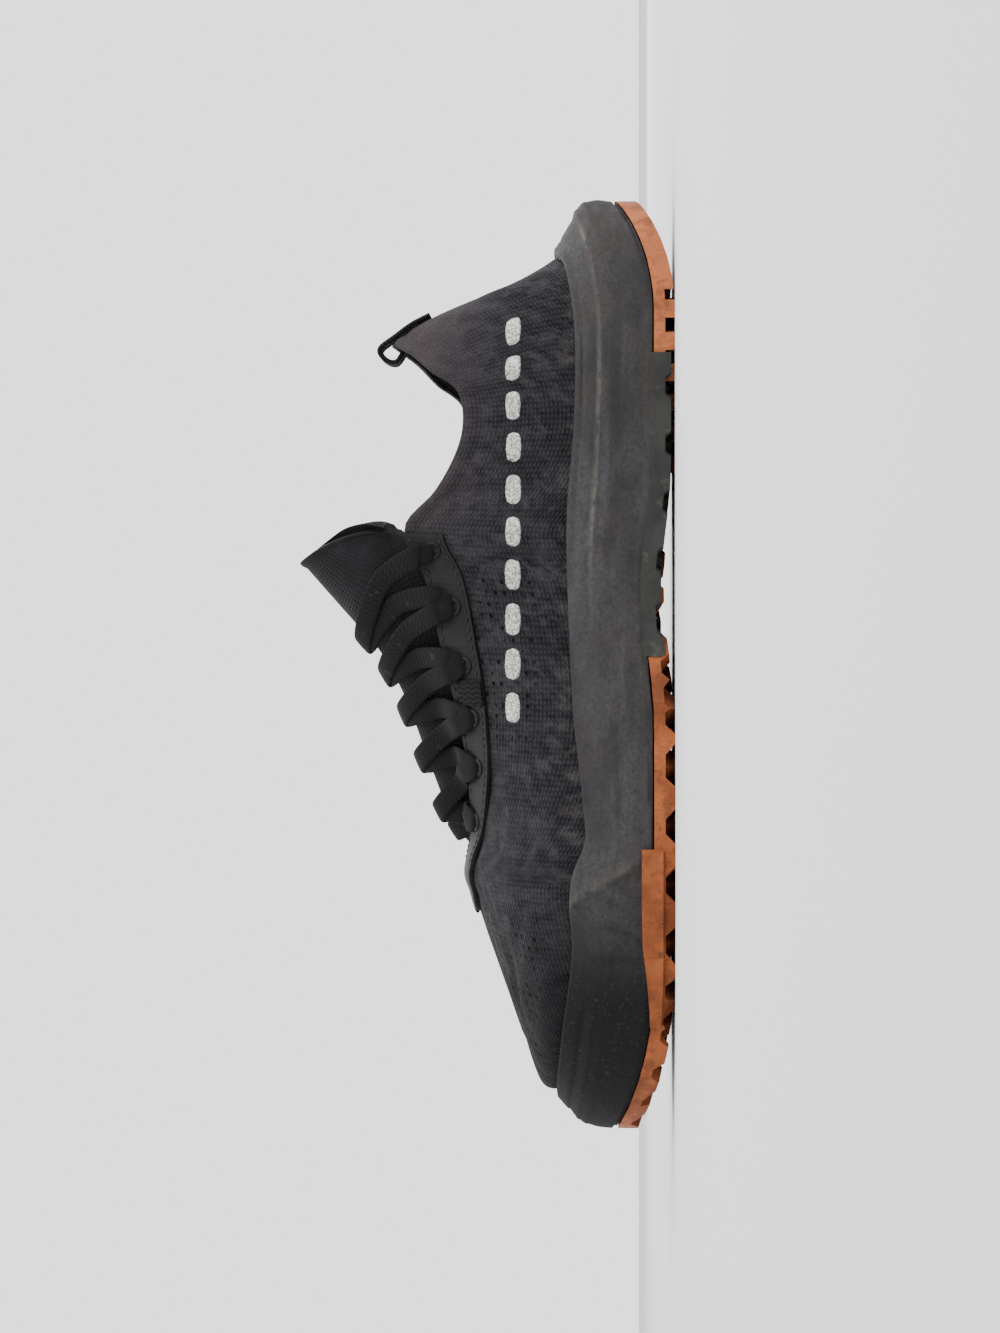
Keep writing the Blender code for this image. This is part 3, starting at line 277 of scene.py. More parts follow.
@lru_cache(None)
def rib_curve(along, side):
    """Foot, then the four handles of the curve from the lip of the midsole to the top edge."""
    lean = WALL.at(along, "lean") + LIP_WALL + GAP
    foot = inset_point(along, side, lean)
    foot.z = BED.at(along_of(foot), "height") + GAP
    wall = inset_point(along, side, lean, WALL.at(along, "top"))
    place = RIBS.at(along, "along")
    closed = along >= THROAT_FOOT
    across = 0.0 if closed else max(0.0, RIBS.at(along, "across"))
    middle = 0.5 * PLAN.at(place, "swing") + RIDGE_SHIFT * min(1, (place - RIBS.rows[0, 1]) / 0.3)
    top = Vector((middle + side * across, place * SOLE_LENGTH - HEEL_REST, RIBS.at(along, "height")))
    if side == INNER and not closed:
        top.z += INNER_RISE * math.sin(math.pi * along / THROAT_FOOT) ** 2
    rise = top.z - wall.z
    away = Vector((wall.x - top.x, wall.y - top.y, 0)) * RIBS.at(along, "reach")
    lift = Vector((0, 0, RIBS.at(along, "lift"))) + RIBS.at(along, "swell") * edge_normal(along, side)
    droop = (away.y * crest_slope(along) if closed else 0) - RIBS.at(along, "droop") * rise
    return foot, (wall, wall + rise * lift, top + away + Vector((0, 0, droop)), top)


def crest_slope(along):
    step = 0.01
    low, high = max(THROAT_FOOT, along - step), min(1, along + step)
    rise = RIBS.at(high, "height") - RIBS.at(low, "height")
    run = (RIBS.at(high, "along") - RIBS.at(low, "along")) * SOLE_LENGTH
    return rise / run


def bezier(handles, t):
    a, b, c, d = handles
    return (1 - t) ** 3 * a + 3 * t * (1 - t) ** 2 * b + 3 * t * t * (1 - t) * c + t ** 3 * d


@lru_cache(None)
def rib_walk(along, side):
    """Points down a rib from its top edge and the distance walked to each."""
    curve = rib_curve(along, side)[1]
    points = [bezier(curve, 1 - k / 48) for k in range(49)]
    walked = [0.0]
    for a, b in zip(points, points[1:]):
        walked.append(walked[-1] + (b - a).length)
    return points, walked


def upper_point(along, side, back):
    """Point of the upper at a distance below its top edge, measured along the rib."""
    points, walked = rib_walk(along, side)
    k = min(47, max(0, bisect_left(walked, back) - 1))
    return points[k].lerp(points[k + 1], (back - walked[k]) / (walked[k + 1] - walked[k]))


def foot_centre(along):
    place = RIBS.at(along, "along")
    return plan_point(place, 0) + Vector((0, 0, BED.at(place, "height")))


def upper_normal(along, side, back):
    step = 0.006
    before, after = max(0, along - step), min(1, along + step)
    if (before < THROAT_FOOT) != (after < THROAT_FOOT):
        before, after = (along, after) if along >= THROAT_FOOT else (before, along)
    lengthwise = upper_point(after, side, back) - upper_point(before, side, back)
    downwards = upper_point(along, side, back + 0.001) - upper_point(along, side, max(0, back - 0.001))
    normal = lengthwise.cross(downwards).normalized()
    return normal if normal.dot(upper_point(along, side, back) - foot_centre(along)) > 0 else -normal


def on_upper(along, side, back, out):
    return upper_point(along, side, back) + out * upper_normal(along, side, back)


def smooth_step(low, high, value):
    t = min(1, max(0, (value - low) / (high - low)))
    return t * t * (3 - 2 * t)


def bell(middle, width, value):
    """One at the middle, falling to nothing on both sides."""
    return math.exp(-((value - middle) / width) ** 2)


def band(rise_from, rise_to, fall_from, fall_to, value):
    """Rises smoothly from nothing to one, then falls again."""
    return smooth_step(rise_from, rise_to, value) * (1 - smooth_step(fall_from, fall_to, value))


# Meshes

def chart_layer(bm):
    return bm.loops.layers.uv.get("UVMap") or bm.loops.layers.uv.new("UVMap")


def lofted(bm, columns, rows, place):
    """A grid whose corners are moved to place(u, v), with its charts kept in a UV map."""
    chart = chart_layer(bm)
    new = bmesh.ops.create_grid(bm, x_segments=columns, y_segments=rows, size=0.5)["verts"]
    spots = {}
    for vert in new:
        u, v = vert.co.x + 0.5, vert.co.y + 0.5
        point, marks = place(u, v)
        vert.co = point
        spots[vert] = marks
    for face in {face for vert in new for face in vert.link_faces}:
        for loop in face.loops:
            loop[chart].uv = spots[loop.vert]


def weld(bm, distance=1e-6):
    bmesh.ops.remove_doubles(bm, verts=bm.verts, dist=distance)
    bmesh.ops.dissolve_degenerate(bm, dist=distance, edges=bm.edges)
    bmesh.ops.recalc_face_normals(bm, faces=bm.faces)


def face_away(bm, test):
    """Turn an open skin so that its faces look the way that test says."""
    bmesh.ops.recalc_face_normals(bm, faces=bm.faces)
    if sum(test(face) * face.calc_area() for face in bm.faces) < 0:
        bmesh.ops.reverse_faces(bm, faces=bm.faces)


def away_from(centre):
    return lambda face: face.normal.dot(face.calc_center_median() - Vector(centre))


def both_sides(columns, rows, skin, distance, test):
    """Grids of the outer and the inner side, joined where they meet."""
    bm = bmesh.new()
    for side in (OUTER, INNER):
        lofted(bm, columns, rows, skin(side))
    weld(bm, distance)
    face_away(bm, test)
    return bm


def piece(name, bm, material, nodes=(), angle=80):
    mesh = bpy.data.meshes.new(name)
    bm.to_mesh(mesh)
    bm.free()
    mesh.materials.append(material)
    mesh.shade_smooth()
    mesh.set_sharp_from_angle(angle=math.radians(angle))
    obj = bpy.data.objects.new(name, mesh)
    bpy.context.scene.collection.objects.link(obj)
    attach(obj, "root")
    if nodes:
        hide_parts(*nodes)
    return obj


def thicken(obj, thickness, offset):
    wall = obj.modifiers.new("wall", "SOLIDIFY")
    wall.thickness = thickness
    wall.offset = offset
    wall.use_quality_normals = True
    return wall


def soften(obj, width, segments, angle):
    edge = obj.modifiers.new("soft edge", "BEVEL")
    edge.width = width
    edge.segments = segments
    edge.limit_method = "ANGLE"
    edge.angle_limit = math.radians(angle)
    edge.use_clamp_overlap = True
    edge.harden_normals = False


# Materials

class Value:
    """A shader socket that can be written into sums."""

    def __init__(self, shop, socket):
        self.shop, self.socket = shop, socket

    def _with(self, operation, *others):
        values = {k: other for k, other in enumerate((self,) + others)}
        return self.shop.node("ShaderNodeMath", {"operation": operation}, values)

    def __add__(self, other):
        return self._with("ADD", other)

    __radd__ = __add__

    def __sub__(self, other):
        return self._with("SUBTRACT", other)

    def __rsub__(self, other):
        return self.shop.node("ShaderNodeMath", {"operation": "SUBTRACT"}, {0: other, 1: self})

    def __mul__(self, other):
        return self._with("MULTIPLY", other)

    __rmul__ = __mul__

    def __truediv__(self, other):
        return self._with("DIVIDE", other)

    def sine(self):
        return self._with("SINE")

    def size(self):
        return self._with("ABSOLUTE")

    def repeat(self, other):
        return self._with("PINGPONG", other)

    def over(self, low, high):
        """Zero below low, one above high, smooth between."""
        values = {"Value": self, "From Min": low, "From Max": high}
        return self.shop.node("ShaderNodeMapRange", {"interpolation_type": "SMOOTHSTEP"}, values)


class Shop:
    """Makes the nodes of one material."""

    def __init__(self, name):
        self.material = bpy.data.materials.new(name)
        self.material.use_nodes = True
        self.tree = self.material.node_tree
        self.shader = self.tree.nodes["Principled BSDF"]

    def node(self, kind, settings=None, values=None, out=0):
        """One node: its settings first, then the values or links of its sockets."""
        node = self.tree.nodes.new(kind)
        for key, value in (settings or {}).items():
            setattr(node, key, value)
        for key, value in (values or {}).items():
            self.put(node.inputs[key], value)
        return Value(self, node.outputs[out])

    def put(self, socket, value):
        if isinstance(value, Value):
            self.tree.links.new(value.socket, socket)
        elif isinstance(value, tuple) and len(value) == 3 and socket.type == "RGBA":
            socket.default_value = (*value, 1)
        else:
            socket.default_value = value

    def set(self, **values):
        """Sockets of the finished surface, named with underscores."""
        for key, value in values.items():
            self.put(self.shader.inputs[key.replace("_", " ")], value)

    def place(self, scale=(1, 1, 1)):
        where = self.node("ShaderNodeTexCoord", out="Object")
        return self.node("ShaderNodeMapping", None, {"Vector": where, "Scale": scale})

    def parts(self, where):
        split = self.tree.nodes.new("ShaderNodeSeparateXYZ")
        self.put(split.inputs[0], where)
        return [Value(self, split.outputs[k]) for k in range(3)]

    def chart(self):
        """Distances along and across the piece, in metres."""
        return self.parts(self.node("ShaderNodeUVMap", {"uv_map": "UVMap"}))[:2]

    def spot(self):
        """The three coordinates of the object, in metres."""
        return self.parts(self.node("ShaderNodeTexCoord", out="Object"))

    def slanted(self, angle, run, rise):
        """Chart turned by an angle and counted in steps of run and rise."""
        along, back = self.chart()
        lengthwise = along * math.cos(angle) + back * math.sin(angle)
        crosswise = back * math.cos(angle) - along * math.sin(angle)
        return self.node("ShaderNodeCombineXYZ", None, {"X": lengthwise / run, "Y": crosswise / rise})

    def noise(self, scale, detail=3, rough=0.5, stretch=(1, 1, 1), warp=0.0, on=None):
        values = {"Vector": on or self.place(stretch), "Scale": scale, "Detail": detail, "Roughness": rough,
                  "Distortion": warp}
        return self.node("ShaderNodeTexNoise", None, values)

    def cells(self, scale, on=None):
        values = {"Vector": on or self.place(), "Scale": scale}
        return self.node("ShaderNodeTexVoronoi", {"feature": "F1"}, values, out="Distance")

    def mark(self, name):
        return self.node("ShaderNodeAttribute", {"attribute_name": name}, out="Fac")

    def blend(self, share, one, two):
        node = self.tree.nodes.new("ShaderNodeMix")
        node.data_type = "RGBA"
        self.put(node.inputs[0], share)
        self.put(node.inputs[6], one)
        self.put(node.inputs[7], two)
        return Value(self, node.outputs[2])

    def bump(self, height, distance, strength=1.0, under=None):
        values = {"Height": height, "Distance": distance, "Strength": strength}
        if under:
            values["Normal"] = under
        return self.node("ShaderNodeBump", None, values)

    def layers(self, base, *coats):
        """A colour with others laid over it in turn, each by its share."""
        for share, colour in coats:
            base = self.blend(share, base, colour)
        return base

    def finish(self, base, roughness, bump, gloss, sheen=0.0, nap=0.5):
        self.set(Base_Color=base, Roughness=roughness, Normal=bump, Specular_IOR_Level=gloss)
        self.set(Sheen_Weight=sheen, Sheen_Roughness=nap)
        return self.material


DUST = (0.085, 0.072, 0.056)
KNIT_COURSE = 0.0013
KNIT_WALE = 0.0017


def wave(pitch):
    """Turns a length into the angle of a wave of this pitch."""
    return 2 * math.pi / pitch


def knit_cloth():
    """Fine knit: courses and wales, pinholes and toe darkened with painted shade, tonal relief low on the
    quarter, warm collar.
    """
    shop = Shop("charcoal knit")
    along, back = shop.chart()
    course = (back * wave(KNIT_COURSE)).sine()
    wale = (along * wave(KNIT_WALE) + course * 1.3).sine()
    loops = course * 0.5 + wale * 0.5
    fibre = shop.noise(2600, 2, 0.6)
    heather = shop.noise(620, 3, 0.75)
    mottle = shop.noise(150, 4, 0.65, (1, 1.6, 1))
    cloud = shop.noise(24, 3, 0.55)
    relief = shop.mark("relief")
    spots = (along * wave(0.0068)).sine() * (back * wave(0.0060)).sine()
    ragged = shop.noise(300, 2, 0.5).over(0.42, 0.58)
    # Pinholes: dots of painted shade, also sunk by the bump, where the holes mark is set.
    pits = spots.size().over(0.74, 0.90) * shop.mark("holes") * ragged
    strokes = 1 - shop.cells(1, on=shop.slanted(0.9, 0.0075, 0.0026)).over(0.25, 0.48)
    patches = shop.noise(1, 3, 0.6, on=shop.slanted(0.6, 0.016, 0.007), warp=0.6).over(0.46, 0.60)
    base = shop.layers(
        shop.blend(mottle.over(0.34, 0.66), (0.0075, 0.0075, 0.0092), (0.0240, 0.0230, 0.0255)),
        (cloud.over(0.45, 0.75) * 0.45, (0.031, 0.0285, 0.030)),
        (heather.over(0.40, 0.68) * 0.5, (0.0075, 0.0075, 0.0090)),
        (patches * (0.25 + 0.55 * relief), (0.0085, 0.0085, 0.0105)),
        (relief * strokes * 0.6, (0.0050, 0.0050, 0.0062)),
        (shop.mark("collar") * (0.45 + 0.3 * mottle), (0.036, 0.0275, 0.0300)),
        (shop.mark("worn") * mottle.over(0.45, 0.8) * 0.4, DUST),
        (loops.over(0.1, 0.7) * 0.35, (0.034, 0.033, 0.037)),
        # Painted shade: the toe darkened, as it turns away from the light.
        (shop.mark("toe") * (0.35 + 0.5 * mottle), (0.0042, 0.0040, 0.0046)),
        (shop.noise(190, 5, 0.8).over(0.70, 0.80) * 0.30, (0.075, 0.072, 0.070)),
        # Painted shade in the pinholes.
        (pits, (0.0012, 0.0012, 0.0015)),
    )
    bump = shop.bump(loops + fibre * 0.5, 0.00022, 0.9)
    bump = shop.bump(strokes * relief * -0.7 - pits * 1.4 - patches * 0.35 + mottle * 0.3, 0.0005, 0.85, bump)
    return shop.finish(base, 0.88 + 0.1 * fibre, bump, 0.06, 0.02)


def lining_cloth():
    shop = Shop("dark lining")
    fibre = shop.noise(1500, 3, 0.6)
    base = shop.blend(fibre.over(0.3, 0.7), (0.008, 0.0078, 0.009), (0.018, 0.017, 0.019))
    return shop.finish(base, 0.95, shop.bump(shop.cells(900) + fibre, 0.00025, 0.7), 0.1, 0.05)


def moulded_foam():
    """Matt foam: fine pores and a speckled toe band darkened with painted shade, dust on the ridge, a painted
    highlight on the fold, scuffs.
    """
    shop = Shop("charcoal foam")
    height = shop.spot()[2]
    pores = shop.cells(1500)
    grain = shop.noise(800, 3, 0.7)
    cloud = shop.noise(30, 4, 0.6, (1, 0.5, 1.4))
    streak = shop.noise(70, 3, 0.6, (1, 0.16, 2.4))
    fleck = shop.noise(460, 2, 0.5)
    mottle = shop.noise(190, 4, 0.7, (1, 0.6, 1.3))
    scuff = shop.noise(60, 6, 0.8, (1, 0.7, 1.5), 1.2).over(0.63, 0.72)
    toe = shop.mark("toe")
    ridge = shop.mark("ridge")
    low = 1 - height.over(0.004, 0.012)
    base = shop.layers(
        shop.blend(cloud.over(0.34, 0.66), (0.0165, 0.0167, 0.0180), (0.037, 0.0363, 0.0375)),
        (shop.noise(42, 4, 0.65).over(0.42, 0.62) * 0.5, (0.033, 0.0270, 0.0245)),
        (streak.over(0.5, 0.75) * 0.6, (0.047, 0.048, 0.050)),
        (mottle.over(0.50, 0.66) * 0.40, (0.012, 0.012, 0.0125)),
        (grain.over(0.35, 0.65) * 0.40, (0.013, 0.013, 0.0135)),
        # Painted shade: the toe darkened, as it turns away from the light; lighter specks go over it.
        (toe * 0.92, (0.0034, 0.0034, 0.0037)),
        (toe * shop.noise(1000, 2, 0.5).over(0.62, 0.70) * 0.45, (0.032, 0.032, 0.032)),
        # Dust on the ridge line, and a painted highlight on the fold.
        (ridge * (0.3 + 0.7 * streak.over(0.42, 0.66)) * fleck.over(0.2, 0.7) * 0.62, (0.098, 0.088, 0.068)),
        (scuff * 0.5 * (1 - toe * 0.7), (0.10, 0.095, 0.085)),
        (low * cloud.over(0.35, 0.7) * (1 - toe * 0.8) * 0.45, DUST),
        # Painted shade in the pores.
        ((1 - pores.over(0.10, 0.35)) * 0.35, (0.006, 0.006, 0.0065)),
    )
    bump = shop.bump(grain + pores * 0.6, 0.00018, 0.8)
    bump = shop.bump(cloud + mottle * 0.5 + scuff * -0.5, 0.0009, 0.6, bump)
    return shop.finish(base, 0.70 + 0.25 * cloud, bump, 0.12)


def tread_foam():
    shop = Shop("black foam tread")
    cloud = shop.noise(60, 4, 0.6)
    grain = shop.noise(1200, 3, 0.6)
    base = shop.blend(cloud.over(0.3, 0.7), (0.0085, 0.0092, 0.0086), (0.019, 0.0195, 0.0175))
    base = shop.blend(shop.noise(140, 4, 0.7).over(0.58, 0.72) * 0.4, base, (0.060, 0.056, 0.044))
    return shop.finish(base, 0.6 + 0.25 * cloud, shop.bump(grain + cloud, 0.0002, 0.6), 0.25)


def gum_rubber():
    """Gum rubber: clean orange on the walls, brown and dirty where the lugs meet the ground, painted shade in
    the pits of the heel.
    """
    shop = Shop("gum rubber")
    worn = shop.mark("worn")
    cloud = shop.noise(45, 4, 0.6)
    grain = shop.noise(1100, 3, 0.6)
    speck = shop.noise(330, 3, 0.6).over(0.60, 0.72)
    dirt = shop.noise(120, 4, 0.7)
    hollow = shop.mark("hollow")
    across, lengthwise, _ = shop.spot()
    heel = 1 - lengthwise.over(0.040, 0.046)
    teeth = (across * wave(0.0046) + (lengthwise * wave(0.0096)).sine() * 0.6).sine()
    # Pits between the teeth of the heel's bars, darkened with painted shade.
    pits = heel * hollow * teeth.over(0.15, 0.65)
    cracks = shop.noise(430, 3, 0.6, (0.4, 1.3, 0.4)).over(0.62, 0.72) * (1 - worn)
    base = shop.layers(
        shop.blend(cloud.over(0.35, 0.65), (0.120, 0.0310, 0.0090), (0.245, 0.069, 0.0210)),
        (heel * (0.35 + 0.4 * dirt), (0.330, 0.107, 0.0420)),
        (worn * (0.60 + 0.35 * cloud), (0.098, 0.0270, 0.0095)),
        (worn * dirt.over(0.42, 0.66) * 0.7, (0.046, 0.0165, 0.0080)),
        (dirt.over(0.46, 0.64) * 0.60, (0.080, 0.0245, 0.0095)),
        (speck * 0.45, (0.035, 0.014, 0.008)),
        (hollow * (0.35 + 0.35 * dirt), (0.085, 0.0185, 0.0050)),
        # Painted shade in the pits.
        (pits * 0.85, (0.016, 0.004, 0.002)),
        (cracks * 0.18, (0.050, 0.0130, 0.0050)),
    )
    bump = shop.bump(grain + dirt * 0.8 - cracks, 0.0003, 0.8)
    bump = shop.bump(pits * -1, 0.0012, 0.9, bump)
    return shop.finish(base, 0.50 + 0.35 * dirt, bump, 0.14)


def bonded_film():
    shop = Shop("smooth black overlay")
    grain = shop.noise(1500, 3, 0.6)
    cloud = shop.noise(80, 4, 0.6)
    rib = (shop.chart()[0] * wave(0.0032)).sine().size()
    base = shop.blend(cloud.over(0.3, 0.75), (0.0035, 0.0035, 0.0040), (0.0095, 0.0095, 0.0100))
    return shop.finish(base, 0.55 + 0.25 * cloud, shop.bump(grain + rib * 0.8, 0.00012, 0.5), 0.15)


def flat_weave(name, dark, light, pitch):
    """Woven tape: herringbone along its own length."""
    shop = Shop(name)
    along, across = shop.chart()
    lean = (across * (1 / pitch)).repeat(1.0)
    herring = (along * wave(pitch) + lean * math.pi).sine()
    fibre = shop.noise(2600, 2, 0.6)
    base = shop.blend(herring.over(-0.6, 0.8), dark, light)
    base = shop.blend(shop.noise(240, 3, 0.6).over(0.62, 0.75) * 0.25, base, (0.045, 0.044, 0.042))
    bump = shop.bump(herring + fibre * 0.5, 0.00010, 0.5)
    return shop.finish(base, 0.8 + 0.15 * fibre, bump, 0.08, 0.02, 0.4)


def tongue_cloth():
    """Spacer mesh of the tongue, with painted shade in its openings and a paler purple-grey back."""
    shop = Shop("black padding")
    along, across = shop.chart()
    mesh = ((along * wave(0.0026)).sine() * (across * wave(0.0026)).sine()).size()
    fibre = shop.noise(1700, 3, 0.6)
    cloud = shop.noise(60, 3, 0.6)
    base = shop.layers(
        shop.blend(cloud.over(0.3, 0.75), (0.0055, 0.0053, 0.0062), (0.0135, 0.0125, 0.0145)),
        (shop.mark("back") * 0.9, (0.034, 0.0290, 0.034)),
        # Painted shade in the openings of the spacer mesh.
        (mesh.over(0.4, 0.9) * 0.35, (0.0018, 0.0018, 0.0022)),
    )
    return shop.finish(base, 0.92, shop.bump(mesh * -1 + fibre, 0.0003, 0.8), 0.1, 0.05, 0.4)


def silver_film():
    """Reflective film, speckled and rubbed."""
    shop = Shop("speckled silver film")
    speck = shop.noise(1500, 2, 0.6)
    rub = shop.noise(260, 4, 0.7)
    base = shop.blend(speck.over(0.42, 0.6), (0.15, 0.15, 0.138), (0.43, 0.43, 0.40))
    base = shop.blend(rub.over(0.60, 0.70) * 0.85, base, (0.06, 0.06, 0.06))
    shop.set(Metallic=0.35)
    return shop.finish(base, 0.38 + 0.3 * speck, shop.bump(speck, 0.0001, 0.6), 0.5)


def footbed_cloth():
    shop = Shop("grey insole cloth")
    fibre = shop.noise(1300, 3, 0.6)
    base = shop.blend(fibre.over(0.3, 0.7), (0.018, 0.018, 0.021), (0.036, 0.035, 0.039))
    return shop.finish(base, 0.95, shop.bump(fibre, 0.0003, 0.7), 0.1)


def sewing_thread():
    shop = Shop("black thread")
    twist = (shop.chart()[0] * 9000).sine()
    base = shop.blend(twist.over(-1, 1), (0.006, 0.006, 0.007), (0.026, 0.025, 0.027))
    shop.set(Base_Color=base, Roughness=0.7, Specular_IOR_Level=0.2)
    return shop.material


KNIT = knit_cloth()
LINING = lining_cloth()
FOAM = moulded_foam()
TREAD = tread_foam()
GUM = gum_rubber()
FILM = bonded_film()
LACE = flat_weave("black lace weave", (0.0040, 0.0040, 0.0045), (0.0060, 0.0058, 0.0064), 0.0010)
WEBBING = flat_weave("black webbing", (0.0035, 0.0035, 0.004), (0.0090, 0.0087, 0.0095), 0.0016)
PADDING = tongue_cloth()
SILVER = silver_film()
FOOTBED = footbed_cloth()
THREAD = sewing_thread()


def paint(mesh, name, shares, domain="POINT"):
    """A mark from 0 to 1 on the points, or on the faces with sharp borders."""
    layer = mesh.attributes.new(name, "FLOAT", domain)
    layer.data.foreach_set("value", [float(share) for share in shares])


def paint_mark(mesh, name, share):
    """A mark from a function of each point's place."""
    paint(mesh, name, [share(v.co) for v in mesh.vertices])


# Upper

# Creases of the knit: side, then the rib and the distance below the top edge at both ends, depth and width
CREASES = (
    (OUTER, 0.62, 0.034, 0.74, 0.044, 0.0008, 0.0030),
    (OUTER, 0.66, 0.022, 0.80, 0.030, 0.0007, 0.0035),
    (OUTER, 0.80, 0.036, 0.90, 0.030, 0.0009, 0.0032),
    (OUTER, 0.84, 0.022, 0.95, 0.018, 0.0007, 0.0035),
    (OUTER, 0.70, 0.012, 0.78, 0.026, 0.0008, 0.0030),
    (OUTER, 0.50, 0.030, 0.60, 0.040, 0.0006, 0.0040),
    (OUTER, 0.12, 0.020, 0.20, 0.034, 0.0008, 0.0050),
    (OUTER, 0.20, 0.008, 0.30, 0.020, 0.0009, 0.0045),
    (OUTER, 0.04, 0.024, 0.12, 0.042, 0.0007, 0.0045),
    (OUTER, 0.30, 0.024, 0.42, 0.040, 0.0006, 0.0050),
    (OUTER, 0.55, 0.046, 0.72, 0.050, 0.0008, 0.0028),
    (INNER, 0.62, 0.030, 0.76, 0.042, 0.0008, 0.0032),
    (INNER, 0.68, 0.016, 0.82, 0.030, 0.0008, 0.0034),
    (INNER, 0.82, 0.034, 0.92, 0.028, 0.0009, 0.0032),
    (INNER, 0.14, 0.018, 0.22, 0.034, 0.0008, 0.0050),
    (INNER, 0.22, 0.008, 0.31, 0.020, 0.0009, 0.0045),
    (INNER, 0.40, 0.026, 0.54, 0.040, 0.0007, 0.0045),
    (INNER, 0.56, 0.042, 0.68, 0.046, 0.0007, 0.0030),
)


def crease(along, side, back):
    """Sum of the soft troughs and ridges at a place on the upper."""
    total = 0.0
    here = Vector((along * SOLE_LENGTH, back))
    for lies, foot_a, back_a, foot_b, back_b, depth, width in CREASES:
        if lies != side:
            continue
        a, b = Vector((foot_a * SOLE_LENGTH, back_a)), Vector((foot_b * SOLE_LENGTH, back_b))
        t = min(1, max(0, (here - a).dot(b - a) / (b - a).length_squared))
        reach = (here - a.lerp(b, t)).length / width
        fade = math.sin(math.pi * min(1, max(0, 0.08 + 0.84 * t)))
        total += depth * fade * (0.55 * math.exp(-(reach - 1.5) ** 2) - math.exp(-reach * reach))
    return total


def quilt(along, side, back):
    """Slow ripples of the soft knit over the forefoot and the waist."""
    front = band(0.45, 0.62, 0.93, 1.0, along)
    ripple = math.sin(along * 74 + 3 * math.sin(back * 160 + side)) * math.sin(back * 215 + along * 19 + side)
    slack = band(0.10, 0.20, 0.36, 0.46, along)
    roll = math.sin(along * 34 + back * 90 + side)
    return smooth_step(0.0, 0.008, back) * (0.00042 * front * ripple + 0.00035 * slack * roll)


def bound_edge(back):
    """The folded edge of the collar stands a little proud."""
    return 0.0006 * bell(0.0022, 0.0018, back) - 0.0004 * bell(0.0062, 0.0011, back)


def rib_place(share):
    """Share of the length for a line of a grid, closer together at the round ends."""
    return (1 - math.cos(math.pi * share)) / 2


# Lines of the knit, closer together at the front end of the throat
EXTRA_LINES = [THROAT_FOOT - 0.0014 * k for k in range(21)]
EVEN_LINES = [rib_place(k / 172) for k in range(173)]
CLEAR_LINES = [along for along in EVEN_LINES if min(abs(along - x) for x in EXTRA_LINES) > 0.0012]
RIB_LINES = sorted(EXTRA_LINES + CLEAR_LINES)
RIB_POINTS = 46
TUCKED_SHARE = 0.06          # share of a rib's points that go down inside the foam's lip


def knit_skin(side):
    def place(u, v):
        along = RIB_LINES[round(u * (len(RIB_LINES) - 1))]
        foot, curve = rib_curve(along, side)
        walked = rib_walk(along, side)[1][-1]
        if v < TUCKED_SHARE:
            t = v / TUCKED_SHARE
            return foot.lerp(curve[0], t), (along * SOLE_LENGTH, walked + 0.01 * (1 - t))
        back = walked * (1 - (v - TUCKED_SHARE) / (1 - TUCKED_SHARE))
        soft = smooth_step(0, 0.010, walked - back) * smooth_step(0.004, 0.022, abs(along - THROAT_FOOT))
        closed = 1 if along < THROAT_FOOT else smooth_step(0, 0.012, back)
        lift = soft * closed * (crease(along, side, back) + quilt(along, side, back))
        if along < EYELET_FOOT:
            lift += bound_edge(back)
        if abs(lift) < 1e-6:
            return upper_point(along, side, back), (along * SOLE_LENGTH, back)
        return on_upper(along, side, back, lift), (along * SOLE_LENGTH, back)
    return place


def make_upper():
    bm = both_sides(len(RIB_LINES) - 1, RIB_POINTS, knit_skin, 5e-6, away_from((0, 0.08, 0.045)))
    upper = piece("upper_knit", bm, KNIT, ("upper",), angle=70)
    mesh = upper.data
    mesh.materials.append(LINING)

    def low_quarter(p):
        return (1 - smooth_step(0.046, 0.060, p.z)) * band(0.03, 0.10, 0.62, 0.72, along_of(p))

    def holes(p):
        along = along_of(p)
        quarter = band(0.36, 0.42, 0.56, 0.60, along) * band(0.040, 0.046, 0.060, 0.066, p.z)
        vamp = band(0.74, 0.78, 0.92, 0.96, along) * smooth_step(0.038, 0.044, p.z)
        return max(quarter, vamp)

    def collar(p):
        return (1 - smooth_step(0.30, 0.40, along_of(p))) * smooth_step(0.055, 0.080, p.z)

    paint_mark(mesh, "relief", low_quarter)
    # Where the pinholes of painted shade lie.
    paint_mark(mesh, "holes", holes)
    paint_mark(mesh, "collar", collar)
    paint_mark(mesh, "worn", lambda p: 1 - smooth_step(0.030, 0.040, p.z))
    # Share of painted shade on the toe of the knit, rising towards its tip.
    paint_mark(mesh, "toe", lambda p: smooth_step(0.70, 0.86, along_of(p)))
    thicken(upper, UPPER_WALL, -1).material_offset = 1


# Midsole

def side_profile(share):
    """Lean and ridge of the side wall at a share of its height."""
    for (low, lean_a, ridge_a), (high, lean_b, ridge_b) in zip(SIDEWALL, SIDEWALL[1:]):
        if share <= high:
            t = (share - low) / (high - low)
            t = t * t * (3 - 2 * t) if ridge_a != ridge_b else t
            return lean_a + (lean_b - lean_a) * t, ridge_a + (ridge_b - ridge_a) * t
    return 1.0, 0.0


def fold_ahead(along, rise):
    """The slanting fold of the foam above the step of the rubber."""
    return bell(0.690 + 0.05 * rise, 0.008, along) * smooth_step(0.05, 0.25, rise)


